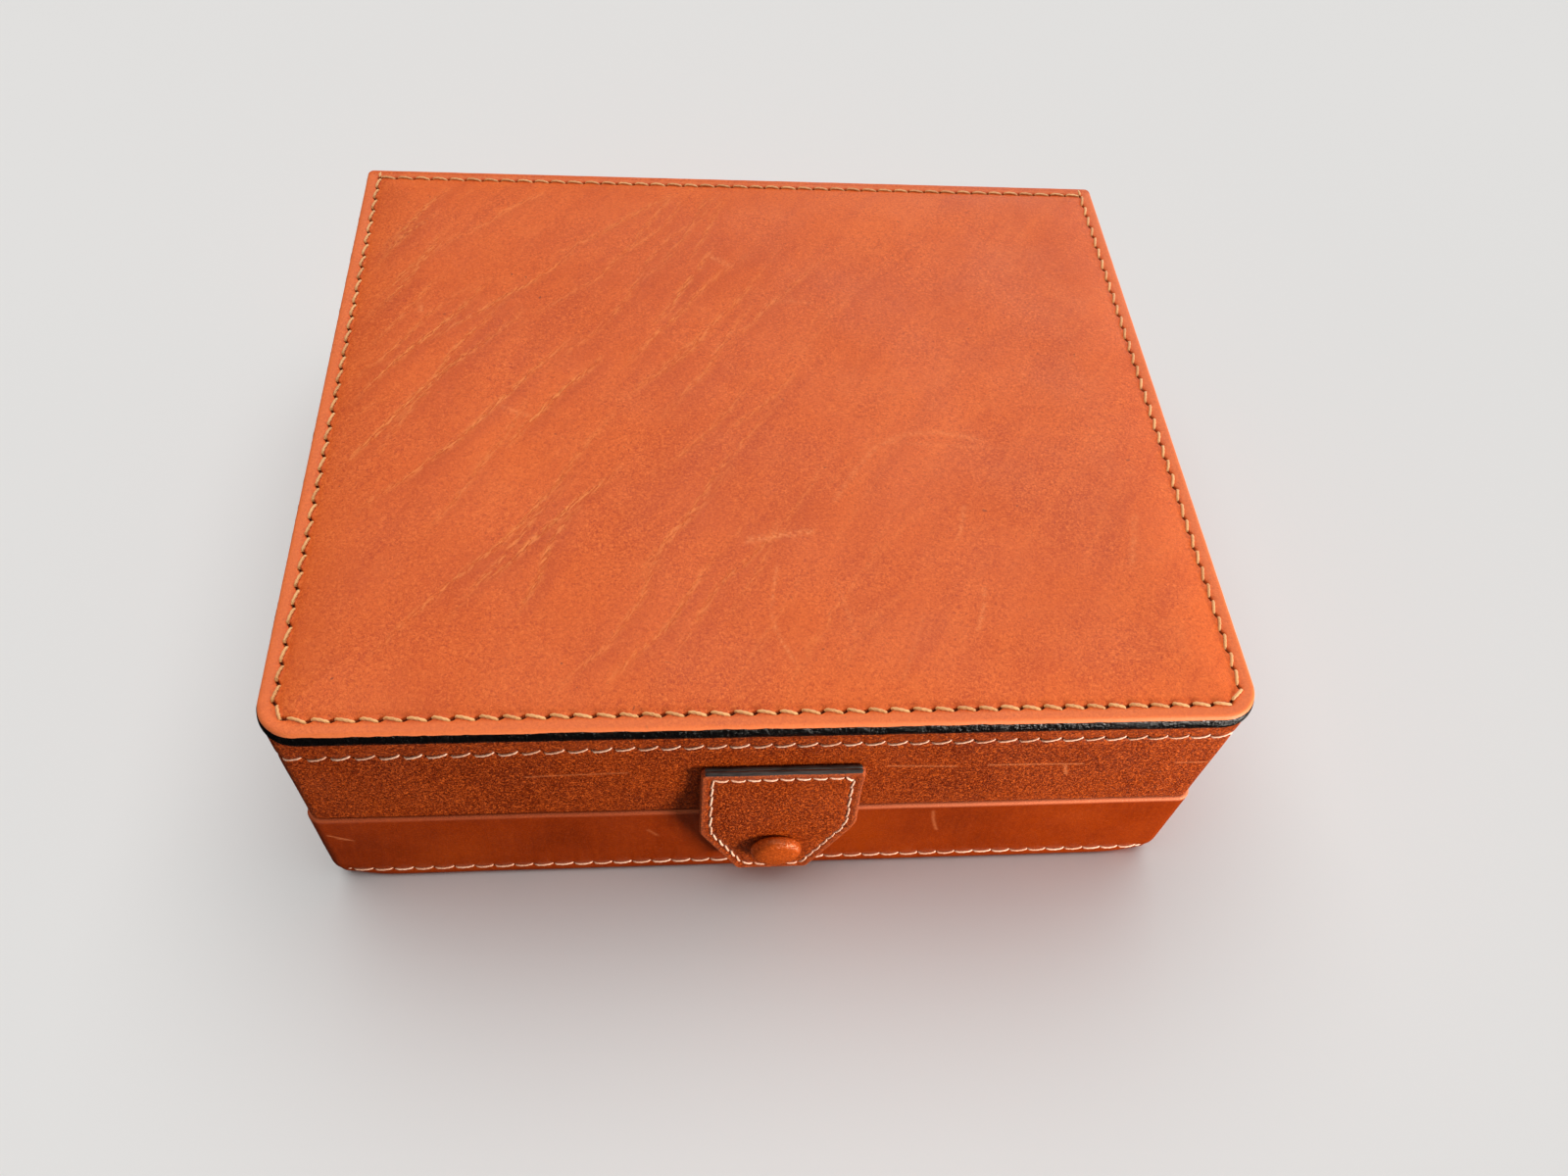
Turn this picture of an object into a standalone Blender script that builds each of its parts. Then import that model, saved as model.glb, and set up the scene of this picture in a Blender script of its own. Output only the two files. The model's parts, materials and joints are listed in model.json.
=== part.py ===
"""Leather jewellery case: two board carcasses covered in saddle leather, joined at the back by
a leather spine, and closed at the front by a stitched tab with a leather-covered press stud.

Run with: blender --background --python part.py

Units are metres. +Z is up, the front (with the tab) faces -Y, and the origin is the centre of
the underside. The lid's pieces hang from the empty "lid_hinge_axis", and the pieces of the tab
that lift off the stud hang from "tab_flex_axis".
"""

import math

import bmesh
import bpy

MM = 0.001

# --- Driving dimensions -----------------------------------------------------------------------
PANEL_WIDTH = 200 * MM  # top panel, left to right
PANEL_DEPTH = 172.2 * MM  # top panel, front to back
PANEL_TOP = 71.8 * MM  # height of the panel's stitched border
PANEL_THICKNESS = 4.4 * MM
PANEL_DOME = 1.8 * MM  # how far the padded middle stands above the border
UNDERLAY = 1.7 * MM  # stiff layer under the top leather
PAD_THICKNESS = 1.5 * MM
EDGE_ROUNDING = 0.8 * MM
SEAM_HEIGHT = 32 * MM  # where the lid meets the base
SEAM_GAP = 0.4 * MM
GAP = 0.3 * MM  # between two pieces that touch

BASE_OVERHANG = 0.7 * MM  # the panel stands this far proud of the base's leather
LID_OVERHANG = 1.2 * MM  # and this far proud of the lid's
FRONT_CORNER = 3.2 * MM
PANEL_FRONT_CORNER = 8 * MM
PANEL_BACK_CORNER = 1.6 * MM
SQUARE_CORNER = 0.4 * MM
CORNER_SEGMENTS = 6

BAND_LEATHER = 1.6 * MM
BASE_BOARD = 3.4 * MM
LID_BOARD = 2.6 * MM
FLOOR_BOARD = 3 * MM
BOTTOM_LEATHER = 2.4 * MM
BAND_FOOT = 0.4 * MM  # the side leather ends just above the table
TRIM = 1.2 * MM  # leather laid over the edges of the boards
LINING_CARD = 1.6 * MM  # suede on card, on the base's walls
LID_LINING = 1 * MM
FLOOR_LINING = 1.5 * MM
LIP_HEIGHT = 6 * MM  # the lining stands this far above the base's rim, to guide the lid

THREAD = 0.7 * MM  # thread thickness
THREAD_PROUD = 0.3 * MM
TOP_STITCH_INSET = 3.3 * MM
LID_STITCH_HEIGHT = 61.2 * MM
BASE_STITCH_HEIGHT = 4.9 * MM

SPINE_LEATHER = BAND_LEATHER  # the spine is as wide as the panel, and closes the whole back

TAB_CENTRE_X = 2.6 * MM
TAB_TOP = 53 * MM
TAB_FOLD_HEIGHT = 47.5 * MM  # below this line the tab lifts off the front
TAB_TAPER_HEIGHT = 31 * MM
TAB_BOTTOM = 10.8 * MM
TAB_HALF_TOP = 17.3 * MM
TAB_HALF_BOTTOM = 8 * MM
TAB_LEATHER = 0.95 * MM
TAB_STANDOFF = 2.6 * MM  # from the front to the back of the tab, at the stud
TAB_STITCH_INSET = 2.3 * MM

STUD_HEIGHT = 24 * MM
CAP_RADIUS = 5.8 * MM
CAP_THICKNESS = 3.4 * MM

RING_ROLLS = 7
ROLL_BAY_EDGE = -31 * MM  # right-hand wall of the bay that holds the ring rolls
DIVIDER = 2.4 * MM
DIVIDER_TOP = 35 * MM
CROSS_DIVIDER_Y = 12 * MM
SHORT_DIVIDER_X = 32 * MM
ROLL_BED = 6 * MM

MIRROR_GLASS = 1.6 * MM
MIRROR_HALF_X = 66 * MM
MIRROR_HALF_Y = 52 * MM
FRAME_BORDER = 9 * MM  # width of the leather frame outside the glass
FRAME_LAP = 4 * MM  # width of the frame over the edge of the glass
FRAME_LEATHER = 1.2 * MM

# --- Derived places ---------------------------------------------------------------------------
PANEL_BOTTOM = PANEL_TOP - PANEL_THICKNESS
BACK_FACE = PANEL_DEPTH / 2
SIDE_LEATHER_END = BACK_FACE - SPINE_LEATHER - GAP
BASE_RIM = SEAM_HEIGHT - SEAM_GAP / 2
LID_RIM = SEAM_HEIGHT + SEAM_GAP / 2
BOARD_INSET = BAND_LEATHER + GAP
LINING_INSET = BOARD_INSET + BASE_BOARD + GAP
LID_LINING_INSET = BOARD_INSET + LID_BOARD + GAP
BOARD_FOOT = BOTTOM_LEATHER + GAP
FLOOR_BOARD_TOP = BOARD_FOOT + FLOOR_BOARD
FLOOR_TOP = FLOOR_BOARD_TOP + GAP + FLOOR_LINING
BASE_BOARD_TOP = BASE_RIM - TRIM - GAP
LID_BOARD_FOOT = LID_RIM + TRIM + GAP
LID_BOARD_TOP = PANEL_BOTTOM - GAP
LIP_TOP = BASE_RIM + LIP_HEIGHT
CEILING = LID_BOARD_TOP - FLOOR_BOARD - GAP

# A half of the case as (half width, front y, back y) of its leather.
BASE_SIDES = (PANEL_WIDTH / 2 - BASE_OVERHANG, -(PANEL_DEPTH / 2 - BASE_OVERHANG), BACK_FACE)
LID_SIDES = (PANEL_WIDTH / 2 - LID_OVERHANG, -(PANEL_DEPTH / 2 - LID_OVERHANG), BACK_FACE)
PANEL_SIDES = (PANEL_WIDTH / 2, -PANEL_DEPTH / 2, PANEL_DEPTH / 2)
BODY_CORNERS = (FRONT_CORNER, SQUARE_CORNER)
PANEL_CORNERS = (PANEL_FRONT_CORNER, PANEL_BACK_CORNER)

LID_AXIS = (0.0, BACK_FACE, SEAM_HEIGHT)
TAB_THICKNESS = 2 * TAB_LEATHER + GAP
TAB_AXIS = (TAB_CENTRE_X, LID_SIDES[1] - GAP - TAB_THICKNESS, TAB_FOLD_HEIGHT)
BASE_FRONT = BASE_SIDES[1]

# --- Materials --------------------------------------------------------------------------------
def material(name, colour, roughness, metallic=0.0):
    made = bpy.data.materials.new(name)
    made.use_nodes = True
    surface = made.node_tree.nodes["Principled BSDF"]
    surface.inputs["Base Color"].default_value = (*colour, 1)
    surface.inputs["Roughness"].default_value = roughness
    surface.inputs["Metallic"].default_value = metallic
    made.diffuse_color = (*colour, 1)
    return made


def make_materials():
    return {
        "saddle_leather": material("saddle_leather", (0.52, 0.14, 0.045), 0.5),
        "grained_leather": material("grained_leather", (0.36, 0.085, 0.02), 0.55),
        "smooth_leather": material("smooth_leather", (0.4, 0.095, 0.02), 0.4),
        "thread": material("thread", (0.78, 0.42, 0.18), 0.7),
        "suede": material("suede", (0.3, 0.13, 0.06), 0.95),
        "board": material("board", (0.5, 0.34, 0.2), 0.85),
        "foam": material("foam", (0.75, 0.7, 0.6), 0.95),
        "snap_metal": material("snap_metal", (0.6, 0.45, 0.2), 0.35, 1.0),
        "mirror": material("mirror", (0.9, 0.92, 0.92), 0.03, 1.0),
    }


# --- Meshes -----------------------------------------------------------------------------------
def outline(sides, corners, inset, open_end=None):
    """Points of a round-cornered rectangle as seen from above, clockwise from the back right.

    Any two insets give points that pair up one to one. With open_end, the outline goes round the
    front only: it starts and stops on the sides, at that y.
    """
    half, front, back = sides
    front_radius = max(corners[0] - inset, SQUARE_CORNER)
    back_radius = max(corners[1] - inset, SQUARE_CORNER)
    half, front, back = half - inset, front + inset, back - inset
    arcs = [
        (half - back_radius, back - back_radius, back_radius, 90),
        (half - front_radius, front + front_radius, front_radius, 0),
        (-half + front_radius, front + front_radius, front_radius, -90),
        (-half + back_radius, back - back_radius, back_radius, -180),
    ]
    if open_end:
        arcs = arcs[1:3]
    points = []
    for x, y, radius, start in arcs:
        for step in range(CORNER_SEGMENTS + 1):
            angle = math.radians(start - 90 * step / CORNER_SEGMENTS)
            points.append((x + radius * math.cos(angle), y + radius * math.sin(angle)))
    if open_end:
        points = [(half, open_end), *points, (-half, open_end)]
    return points


def circle(radius, sides):
    angles = [2 * math.pi * step / sides for step in range(sides)]
    return [(radius * math.cos(angle), radius * math.sin(angle)) for angle in angles]


def loft(name, loops, surface, ring=False, location=(0, 0, 0), smooth_angle=30):
    """A closed body through loops of equally many points. A ring joins its last loop to its
    first, and any other body has its first and last loops filled."""
    mesh = bmesh.new()
    rows = [[mesh.verts.new(point) for point in loop] for loop in loops]
    pairs = list(zip(rows, rows[1:] + rows[:1])) if ring else list(zip(rows, rows[1:]))
    for lower, upper in pairs:
        count = len(lower)
        for i in range(count):
            j = (i + 1) % count
            mesh.faces.new((lower[i], lower[j], upper[j], upper[i]))
    if not ring:
        mesh.faces.new(rows[0])
        mesh.faces.new(rows[-1])
    bmesh.ops.recalc_face_normals(mesh, faces=mesh.faces)
    data = bpy.data.meshes.new(name)
    mesh.to_mesh(data)
    mesh.free()
    data.shade_smooth()
    data.set_sharp_from_angle(angle=math.radians(smooth_angle))
    made = bpy.data.objects.new(name, data)
    made.location = location
    bpy.context.scene.collection.objects.link(made)
    made.data.materials.append(surface)
    return made


def stack(name, sides, corners, profile, surface):
    """A plate lofted through (inset, height) pairs, from its underside's middle to its top's."""
    base = profile[0][1]
    loops = []
    for inset, height in profile:
        loops.append([(x, y, height - base) for x, y in outline(sides, corners, inset)])
    return loft(name, loops, surface, location=(0, 0, base))


def band(name, sides, corners, profile, surface, open_end=None):
    """A closed (inset, height) profile swept round the outline, or round its open stretch."""
    base = min(height for _, height in profile)
    rails = [outline(sides, corners, inset, open_end) for inset, _ in profile]
    heights = [height - base for _, height in profile]
    sections = [
        [(*rail[i], height) for rail, height in zip(rails, heights)] for i in range(len(rails[0]))
    ]
    return loft(name, sections, surface, ring=open_end is None, location=(0, 0, base))


def box(name, low, high, surface, bevel=0.0):
    size = [b - a for a, b in zip(low, high)]
    centre = [(a + b) / 2 for a, b in zip(low, high)]
    mesh = bmesh.new()
    bmesh.ops.create_cube(mesh, size=1)
    bmesh.ops.scale(mesh, vec=size, verts=mesh.verts)
    data = bpy.data.meshes.new(name)
    mesh.to_mesh(data)
    mesh.free()
    made = bpy.data.objects.new(name, data)
    made.location = centre
    bpy.context.scene.collection.objects.link(made)
    made.data.materials.append(surface)
    if bevel:
        modifier = made.modifiers.new("soft_edges", "BEVEL")
        modifier.width = bevel
        modifier.segments = 2
    return made


def turned(name, profile, surface, location, ring=False, sides=24):
    """A body turned about an axis that points to the front, from (radius, distance) pairs."""
    loops = [[(x, y, distance) for x, y in circle(r, sides)] for r, distance in profile]
    made = loft(name, loops, surface, ring=ring, location=location)
    made.rotation_euler = (math.radians(90), 0, 0)
    return made


def thread_run(name, points, surface, closed):
    """One thread as a round tube through these points."""
    curve = bpy.data.curves.new(name, "CURVE")
    curve.dimensions = "3D"
    curve.bevel_depth = THREAD / 2
    curve.bevel_resolution = 1
    curve.use_fill_caps = not closed
    run = curve.splines.new("POLY")
    run.points.add(len(points) - 1)
    for target, point in zip(run.points, points):
        target.co = (*point, 1)
    run.use_cyclic_u = closed
    made = bpy.data.objects.new(name, curve)
    bpy.context.scene.collection.objects.link(made)
    curve.materials.append(surface)
    return made


def helper(name, body):
    """Marks a body as a cutter or a guide, which isn't a piece of the case."""
    body.name = name
    body.hide_render = True
    body.display_type = "WIRE"
    return body


def combine(piece, other, operation):
    modifier = piece.modifiers.new(operation.lower(), "BOOLEAN")
    modifier.operation = operation
    modifier.object = other
    modifier.solver = "EXACT"


def thread_groove(height, proud_side):
    """(inset, height) points of the channel that a thread lies in, from below to above."""
    depth = THREAD - THREAD_PROUD + GAP
    half = THREAD / 2 + GAP
    return [
        (proud_side, height - half),
        (proud_side + depth, height - half),
        (proud_side + depth, height + half),
        (proud_side, height + half),
    ]


# --- The two carcasses ------------------------------------------------------------------------
def carcass(name, sides, board, low, high, surface):
    """Four glued boards whose outer corners are rounded over, side boards running through."""
    half, front, back = sides
    half, front, back = half - BOARD_INSET, front + BOARD_INSET, back - BOARD_INSET
    profile = [(BOARD_INSET, low - MM), (BOARD_INSET, high + MM)]
    envelope = stack(f"{name}_envelope", sides, BODY_CORNERS, profile, surface)
    helper(f"{name}_envelope", envelope)
    reach = half - board - GAP
    places = {
        "front": ((-reach, front, low), (reach, front + board, high)),
        "back": ((-reach, back - board, low), (reach, back, high)),
        "left": ((-half, front, low), (-half + board, back, high)),
        "right": ((half - board, front, low), (half, back, high)),
    }
    boards = {}
    for side, (lowest, highest) in places.items():
        boards[side] = box(f"{name}_board_{side}", lowest, highest, surface)
        combine(boards[side], envelope, "INTERSECT")
    return boards


def wall_linings(name, sides, inset, card, low, high, surface):
    """Four covered cards that line the walls, front and back running through."""
    half, front, back = sides
    half, front, back = half - inset, front + inset, back - inset
    places = {
        "front": ((-half, front, low), (half, front + card, high)),
        "back": ((-half, back - card, low), (half, back, high)),
        "left": ((-half, front + card + GAP, low), (-half + card, back - card - GAP, high)),
        "right": ((half - card, front + card + GAP, low), (half, back - card - GAP, high)),
    }
    return [
        box(f"{name}_lining_{side}", lowest, highest, surface, bevel=0.3 * MM)
        for side, (lowest, highest) in places.items()
    ]


def side_leather(name, sides, low, high, stitch_height, surface):
    """The leather round the front and sides, which butts against the spine at the back."""
    profile = [
        (0, low),
        *thread_groove(stitch_height, 0),
        (0, high),
        (BAND_LEATHER, high),
        (BAND_LEATHER, low),
    ]
    return band(name, sides, BODY_CORNERS, profile, surface, open_end=SIDE_LEATHER_END)


def spine(name, low, high, surface):
    """Half of the leather spine: a strip on the back whose outer face holds the hinge axis."""
    half = PANEL_WIDTH / 2
    inner = BACK_FACE - SPINE_LEATHER
    return box(name, (-half, inner, low), (half, BACK_FACE, high), surface, bevel=GAP)


def band_thread(name, sides, height, surface):
    """The thread of a row of stitches round the front and sides of a half of the case."""
    row = outline(sides, BODY_CORNERS, THREAD / 2 - THREAD_PROUD, SIDE_LEATHER_END)
    return thread_run(name, [(x, y, height) for x, y in row], surface, closed=False)


def rim_trim(name, sides, board, low, surface):
    """Leather laid over the edges of the boards, where the lid and the base meet."""
    inset = BOARD_INSET + board
    outer = outline(sides, BODY_CORNERS, BOARD_INSET)
    inner = outline(sides, (0, 0), inset)
    sections = [
        [(*far, 0), (*far, TRIM), (*near, TRIM), (*near, 0)] for far, near in zip(outer, inner)
    ]
    return loft(name, sections, surface, ring=True, location=(0, 0, low))


# --- Base -------------------------------------------------------------------------------------
def make_base(paint):
    bottom = [
        (BOARD_INSET, 0),
        (BOARD_INSET, BOTTOM_LEATHER),
    ]
    stack("bottom_leather", BASE_SIDES, BODY_CORNERS, bottom, paint["smooth_leather"])
    boards = carcass("base", BASE_SIDES, BASE_BOARD, BOARD_FOOT, BASE_BOARD_TOP, paint["board"])
    half, front, back = BASE_SIDES
    inset = BOARD_INSET + BASE_BOARD + GAP
    box(
        "base_floor_board",
        (-half + inset, front + inset, BOARD_FOOT),
        (half - inset, back - inset, FLOOR_BOARD_TOP),
        paint["board"],
    )
    leather = side_leather(
        "base_band", BASE_SIDES, BAND_FOOT, BASE_RIM, BASE_STITCH_HEIGHT, paint["smooth_leather"]
    )
    spine("spine_base", BAND_FOOT, BASE_RIM, paint["saddle_leather"])
    band_thread("base_band_thread", BASE_SIDES, BASE_STITCH_HEIGHT, paint["thread"])
    rim_trim("base_rim_trim", BASE_SIDES, BASE_BOARD, BASE_RIM - TRIM, paint["smooth_leather"])
    return boards["front"], leather


def make_base_interior(paint):
    half, front, back = BASE_SIDES
    inset = LINING_INSET
    wall_linings(
        "base", BASE_SIDES, inset, LINING_CARD, FLOOR_TOP + GAP, LIP_TOP, paint["suede"]
    )
    box(
        "base_floor_lining",
        (-half + inset, front + inset, FLOOR_BOARD_TOP + GAP),
        (half - inset, back - inset, FLOOR_TOP),
        paint["suede"],
    )
    inner = inset + LINING_CARD + GAP
    left, right = -half + inner, half - inner
    near, far = front + inner, back - inner
    low = FLOOR_TOP + GAP
    wall = ROLL_BAY_EDGE + DIVIDER
    box("divider_long", (ROLL_BAY_EDGE, near, low), (wall, far, DIVIDER_TOP), paint["suede"], 0.6 * MM)
    box(
        "divider_cross",
        (wall + GAP, CROSS_DIVIDER_Y, low),
        (right, CROSS_DIVIDER_Y + DIVIDER, DIVIDER_TOP),
        paint["suede"],
        0.6 * MM,
    )
    box(
        "divider_short",
        (SHORT_DIVIDER_X, near, low),
        (SHORT_DIVIDER_X + DIVIDER, CROSS_DIVIDER_Y - GAP, DIVIDER_TOP),
        paint["suede"],
        0.6 * MM,
    )
    bay_right = ROLL_BAY_EDGE - GAP
    box("ring_roll_bed", (left, near, low), (bay_right, far, low + ROLL_BED), paint["suede"])
    make_ring_rolls(left, bay_right, near, far, low + ROLL_BED + GAP, paint["suede"])


def make_ring_rolls(left, right, near, far, floor, surface):
    """Padded rolls side by side, across the bay, that grip rings between them."""
    pitch = (far - near) / RING_ROLLS
    radius = (pitch - GAP) / 2
    end_round = 2.5 * MM
    stations = (
        (left, radius - end_round),
        (left + 0.3 * end_round, radius - 0.3 * end_round),
        (left + end_round, radius),
        (right - end_round, radius),
        (right - 0.3 * end_round, radius - 0.3 * end_round),
        (right, radius - end_round),
    )
    for number in range(RING_ROLLS):
        loops = [[(x, y, z) for y, z in circle(r, 16)] for x, r in stations]
        centre = (0, near + pitch * (number + 0.5), floor + radius)
        loft(f"ring_roll_{number + 1}", loops, surface, location=centre, smooth_angle=50)


# --- Lid --------------------------------------------------------------------------------------
def make_top(paint):
    """The stitched panel on top: leather over a pad, on a stiff underlay of the same outline."""
    pad_inset = 10 * MM
    seat = PANEL_BOTTOM + UNDERLAY
    leather_foot = seat + GAP
    room = leather_foot + PAD_THICKNESS
    groove = [(inset, -depth) for depth, inset in thread_groove(TOP_STITCH_INSET, -PANEL_TOP)]
    leather = [
        (pad_inset, room),
        (pad_inset, leather_foot),
        (EDGE_ROUNDING, leather_foot),
        (0, leather_foot + 0.4 * EDGE_ROUNDING),
        (0, PANEL_TOP - EDGE_ROUNDING),
        (0.3 * EDGE_ROUNDING, PANEL_TOP - 0.3 * EDGE_ROUNDING),
        (EDGE_ROUNDING, PANEL_TOP),
        *groove,
        (8 * MM, PANEL_TOP + 0.5 * PANEL_DOME),
        (14 * MM, PANEL_TOP + 0.83 * PANEL_DOME),
        (28 * MM, PANEL_TOP + PANEL_DOME),
    ]
    pad = [
        (pad_inset + GAP, leather_foot),
        (pad_inset + GAP, room - GAP),
    ]
    underlay = [
        (EDGE_ROUNDING, PANEL_BOTTOM),
        (0, PANEL_BOTTOM + 0.6 * EDGE_ROUNDING),
        (0, seat - 0.4 * EDGE_ROUNDING),
        (EDGE_ROUNDING, seat),
    ]
    height = PANEL_TOP - THREAD / 2 + THREAD_PROUD
    row = [(x, y, height) for x, y in outline(PANEL_SIDES, PANEL_CORNERS, TOP_STITCH_INSET)]
    return [
        stack("top_leather", PANEL_SIDES, PANEL_CORNERS, leather, paint["saddle_leather"]),
        stack("top_padding", PANEL_SIDES, PANEL_CORNERS, pad, paint["foam"]),
        stack("top_underlay", PANEL_SIDES, PANEL_CORNERS, underlay, paint["smooth_leather"]),
        thread_run("top_thread", row, paint["thread"], closed=True),
    ]


def make_lid(paint):
    pieces = make_top(paint)
    boards = carcass("lid", LID_SIDES, LID_BOARD, LID_BOARD_FOOT, LID_BOARD_TOP, paint["board"])
    pieces += boards.values()
    half, front, back = LID_SIDES
    inset = LID_LINING_INSET
    pieces.append(
        box(
            "lid_top_board",
            (-half + inset, front + inset, LID_BOARD_TOP - FLOOR_BOARD),
            (half - inset, back - inset, LID_BOARD_TOP),
            paint["board"],
        )
    )
    pieces.append(
        side_leather(
            "lid_band", LID_SIDES, LID_RIM, LID_BOARD_TOP, LID_STITCH_HEIGHT, paint["grained_leather"]
        )
    )
    pieces.append(spine("spine_lid", LID_RIM, LID_BOARD_TOP, paint["saddle_leather"]))
    pieces.append(band_thread("lid_band_thread", LID_SIDES, LID_STITCH_HEIGHT, paint["thread"]))
    pieces.append(
        rim_trim("lid_rim_trim", LID_SIDES, LID_BOARD, LID_RIM, paint["smooth_leather"])
    )
    return pieces


def make_lid_interior(paint):
    half, front, back = LID_SIDES
    inset = LID_LINING_INSET
    ceiling_bottom = CEILING - LID_LINING
    pieces = wall_linings(
        "lid",
        LID_SIDES,
        inset,
        LID_LINING,
        LIP_TOP + 1 * MM,
        ceiling_bottom - GAP,
        paint["suede"],
    )
    pieces.append(
        box(
            "lid_ceiling_lining",
            (-half + inset, front + inset, ceiling_bottom),
            (half - inset, back - inset, CEILING),
            paint["suede"],
        )
    )
    glass_top = ceiling_bottom - GAP
    pieces.append(
        box(
            "mirror_glass",
            (-MIRROR_HALF_X, -MIRROR_HALF_Y, glass_top - MIRROR_GLASS),
            (MIRROR_HALF_X, MIRROR_HALF_Y, glass_top),
            paint["mirror"],
        )
    )
    # The frame's insets count from its own outer edge.
    frame_sides = (
        MIRROR_HALF_X + FRAME_BORDER,
        -(MIRROR_HALF_Y + FRAME_BORDER),
        MIRROR_HALF_Y + FRAME_BORDER,
    )
    step = FRAME_BORDER - GAP
    window = FRAME_BORDER + FRAME_LAP
    lip_top = glass_top - MIRROR_GLASS - GAP
    frame_bottom = lip_top - FRAME_LEATHER
    profile = [
        (0, glass_top),
        (0, frame_bottom),
        (window, frame_bottom),
        (window, lip_top),
        (step, lip_top),
        (step, glass_top),
    ]
    corners = (4 * MM, 4 * MM)
    pieces.append(band("mirror_frame", frame_sides, corners, profile, paint["saddle_leather"]))
    return pieces


# --- Tab and press stud -----------------------------------------------------------------------
def tab_half_width(height):
    """Half the tab's width: square at the top, and tapering to its short bottom edge."""
    if height >= TAB_TAPER_HEIGHT:
        return TAB_HALF_TOP
    share = (TAB_TAPER_HEIGHT - height) / (TAB_TAPER_HEIGHT - TAB_BOTTOM)
    return TAB_HALF_TOP + (TAB_HALF_BOTTOM - TAB_HALF_TOP) * share


def tab_back(height):
    """y of the tab's back face: against the lid at the fold, and clear of the stud below it."""
    near_lid = LID_SIDES[1] - GAP
    at_stud = BASE_FRONT - TAB_STANDOFF
    fall = (TAB_FOLD_HEIGHT - height) / (TAB_FOLD_HEIGHT - STUD_HEIGHT - CAP_RADIUS)
    share = min(max(fall, 0), 1)
    return near_lid + (at_stud - near_lid) * share * share * (3 - 2 * share)


def tab_layer(name, top, bottom, layer, surface):
    """One leather layer of the tab between two heights; layer 0 is the back one."""
    rows = 14 if bottom < TAB_TAPER_HEIGHT else 1
    heights = [top + (bottom - top) * row / rows for row in range(rows + 1)]
    offset = layer * (TAB_LEATHER + GAP)
    loops = []
    for height in heights:
        half = tab_half_width(height)
        back = tab_back(height) - offset
        front = back - TAB_LEATHER
        loops.append([(-half, back), (half, back), (half, front), (-half, front)])
    origin = (TAB_CENTRE_X, 0, 0)
    rings = [[(x, y, height) for x, y in loop] for loop, height in zip(loops, heights)]
    return loft(name, rings, surface, location=origin)


def tab_front(height):
    return tab_back(height) - TAB_THICKNESS


def tab_stitch_point(side, height):
    """A point of the thread on the tab's face, near its left (-1) or right (1) edge."""
    return (
        TAB_CENTRE_X + side * (tab_half_width(height) - TAB_STITCH_INSET),
        tab_front(height) - GAP - THREAD / 2,
        height,
    )


def make_tab_anchor(paint):
    """The top of the tab, which is sewn to the front of the lid."""
    low = TAB_FOLD_HEIGHT + SEAM_GAP / 2
    row = TAB_TOP - TAB_STITCH_INSET
    ends = [tab_stitch_point(side, row) for side in (-1, 1)]
    return [
        tab_layer("tab_anchor_backing", TAB_TOP, low, 0, paint["smooth_leather"]),
        tab_layer("tab_anchor_face", TAB_TOP, low, 1, paint["grained_leather"]),
        thread_run("tab_anchor_thread", ends, paint["thread"], closed=False),
    ]


def make_tab_flap(paint):
    """The free part of the tab, with the press stud's cap and socket."""
    top = TAB_FOLD_HEIGHT - SEAM_GAP / 2
    backing = tab_layer("tab_backing", top, TAB_BOTTOM, 0, paint["smooth_leather"])
    face = tab_layer("tab_face", top, TAB_BOTTOM, 1, paint["grained_leather"])
    hole_radius = 1.7 * MM
    middle = (TAB_CENTRE_X, BASE_FRONT, STUD_HEIGHT)
    reach = [(hole_radius, 0), (hole_radius, 10 * MM)]
    cutter = helper("tab_hole", turned("tab_hole", reach, paint["snap_metal"], middle))
    combine(backing, cutter, "DIFFERENCE")
    combine(face, cutter, "DIFFERENCE")
    bottom_row = TAB_BOTTOM + TAB_STITCH_INSET
    stops = 8
    drop = top - 1 * MM - bottom_row
    heights = [bottom_row + drop * step / stops for step in range(stops + 1)]
    run = [tab_stitch_point(-1, height) for height in reversed(heights)]
    run += [tab_stitch_point(1, height) for height in heights]
    thread = thread_run("tab_thread", run, paint["thread"], closed=False)
    return [backing, face, thread, *make_cap(middle, paint), cutter]


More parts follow.
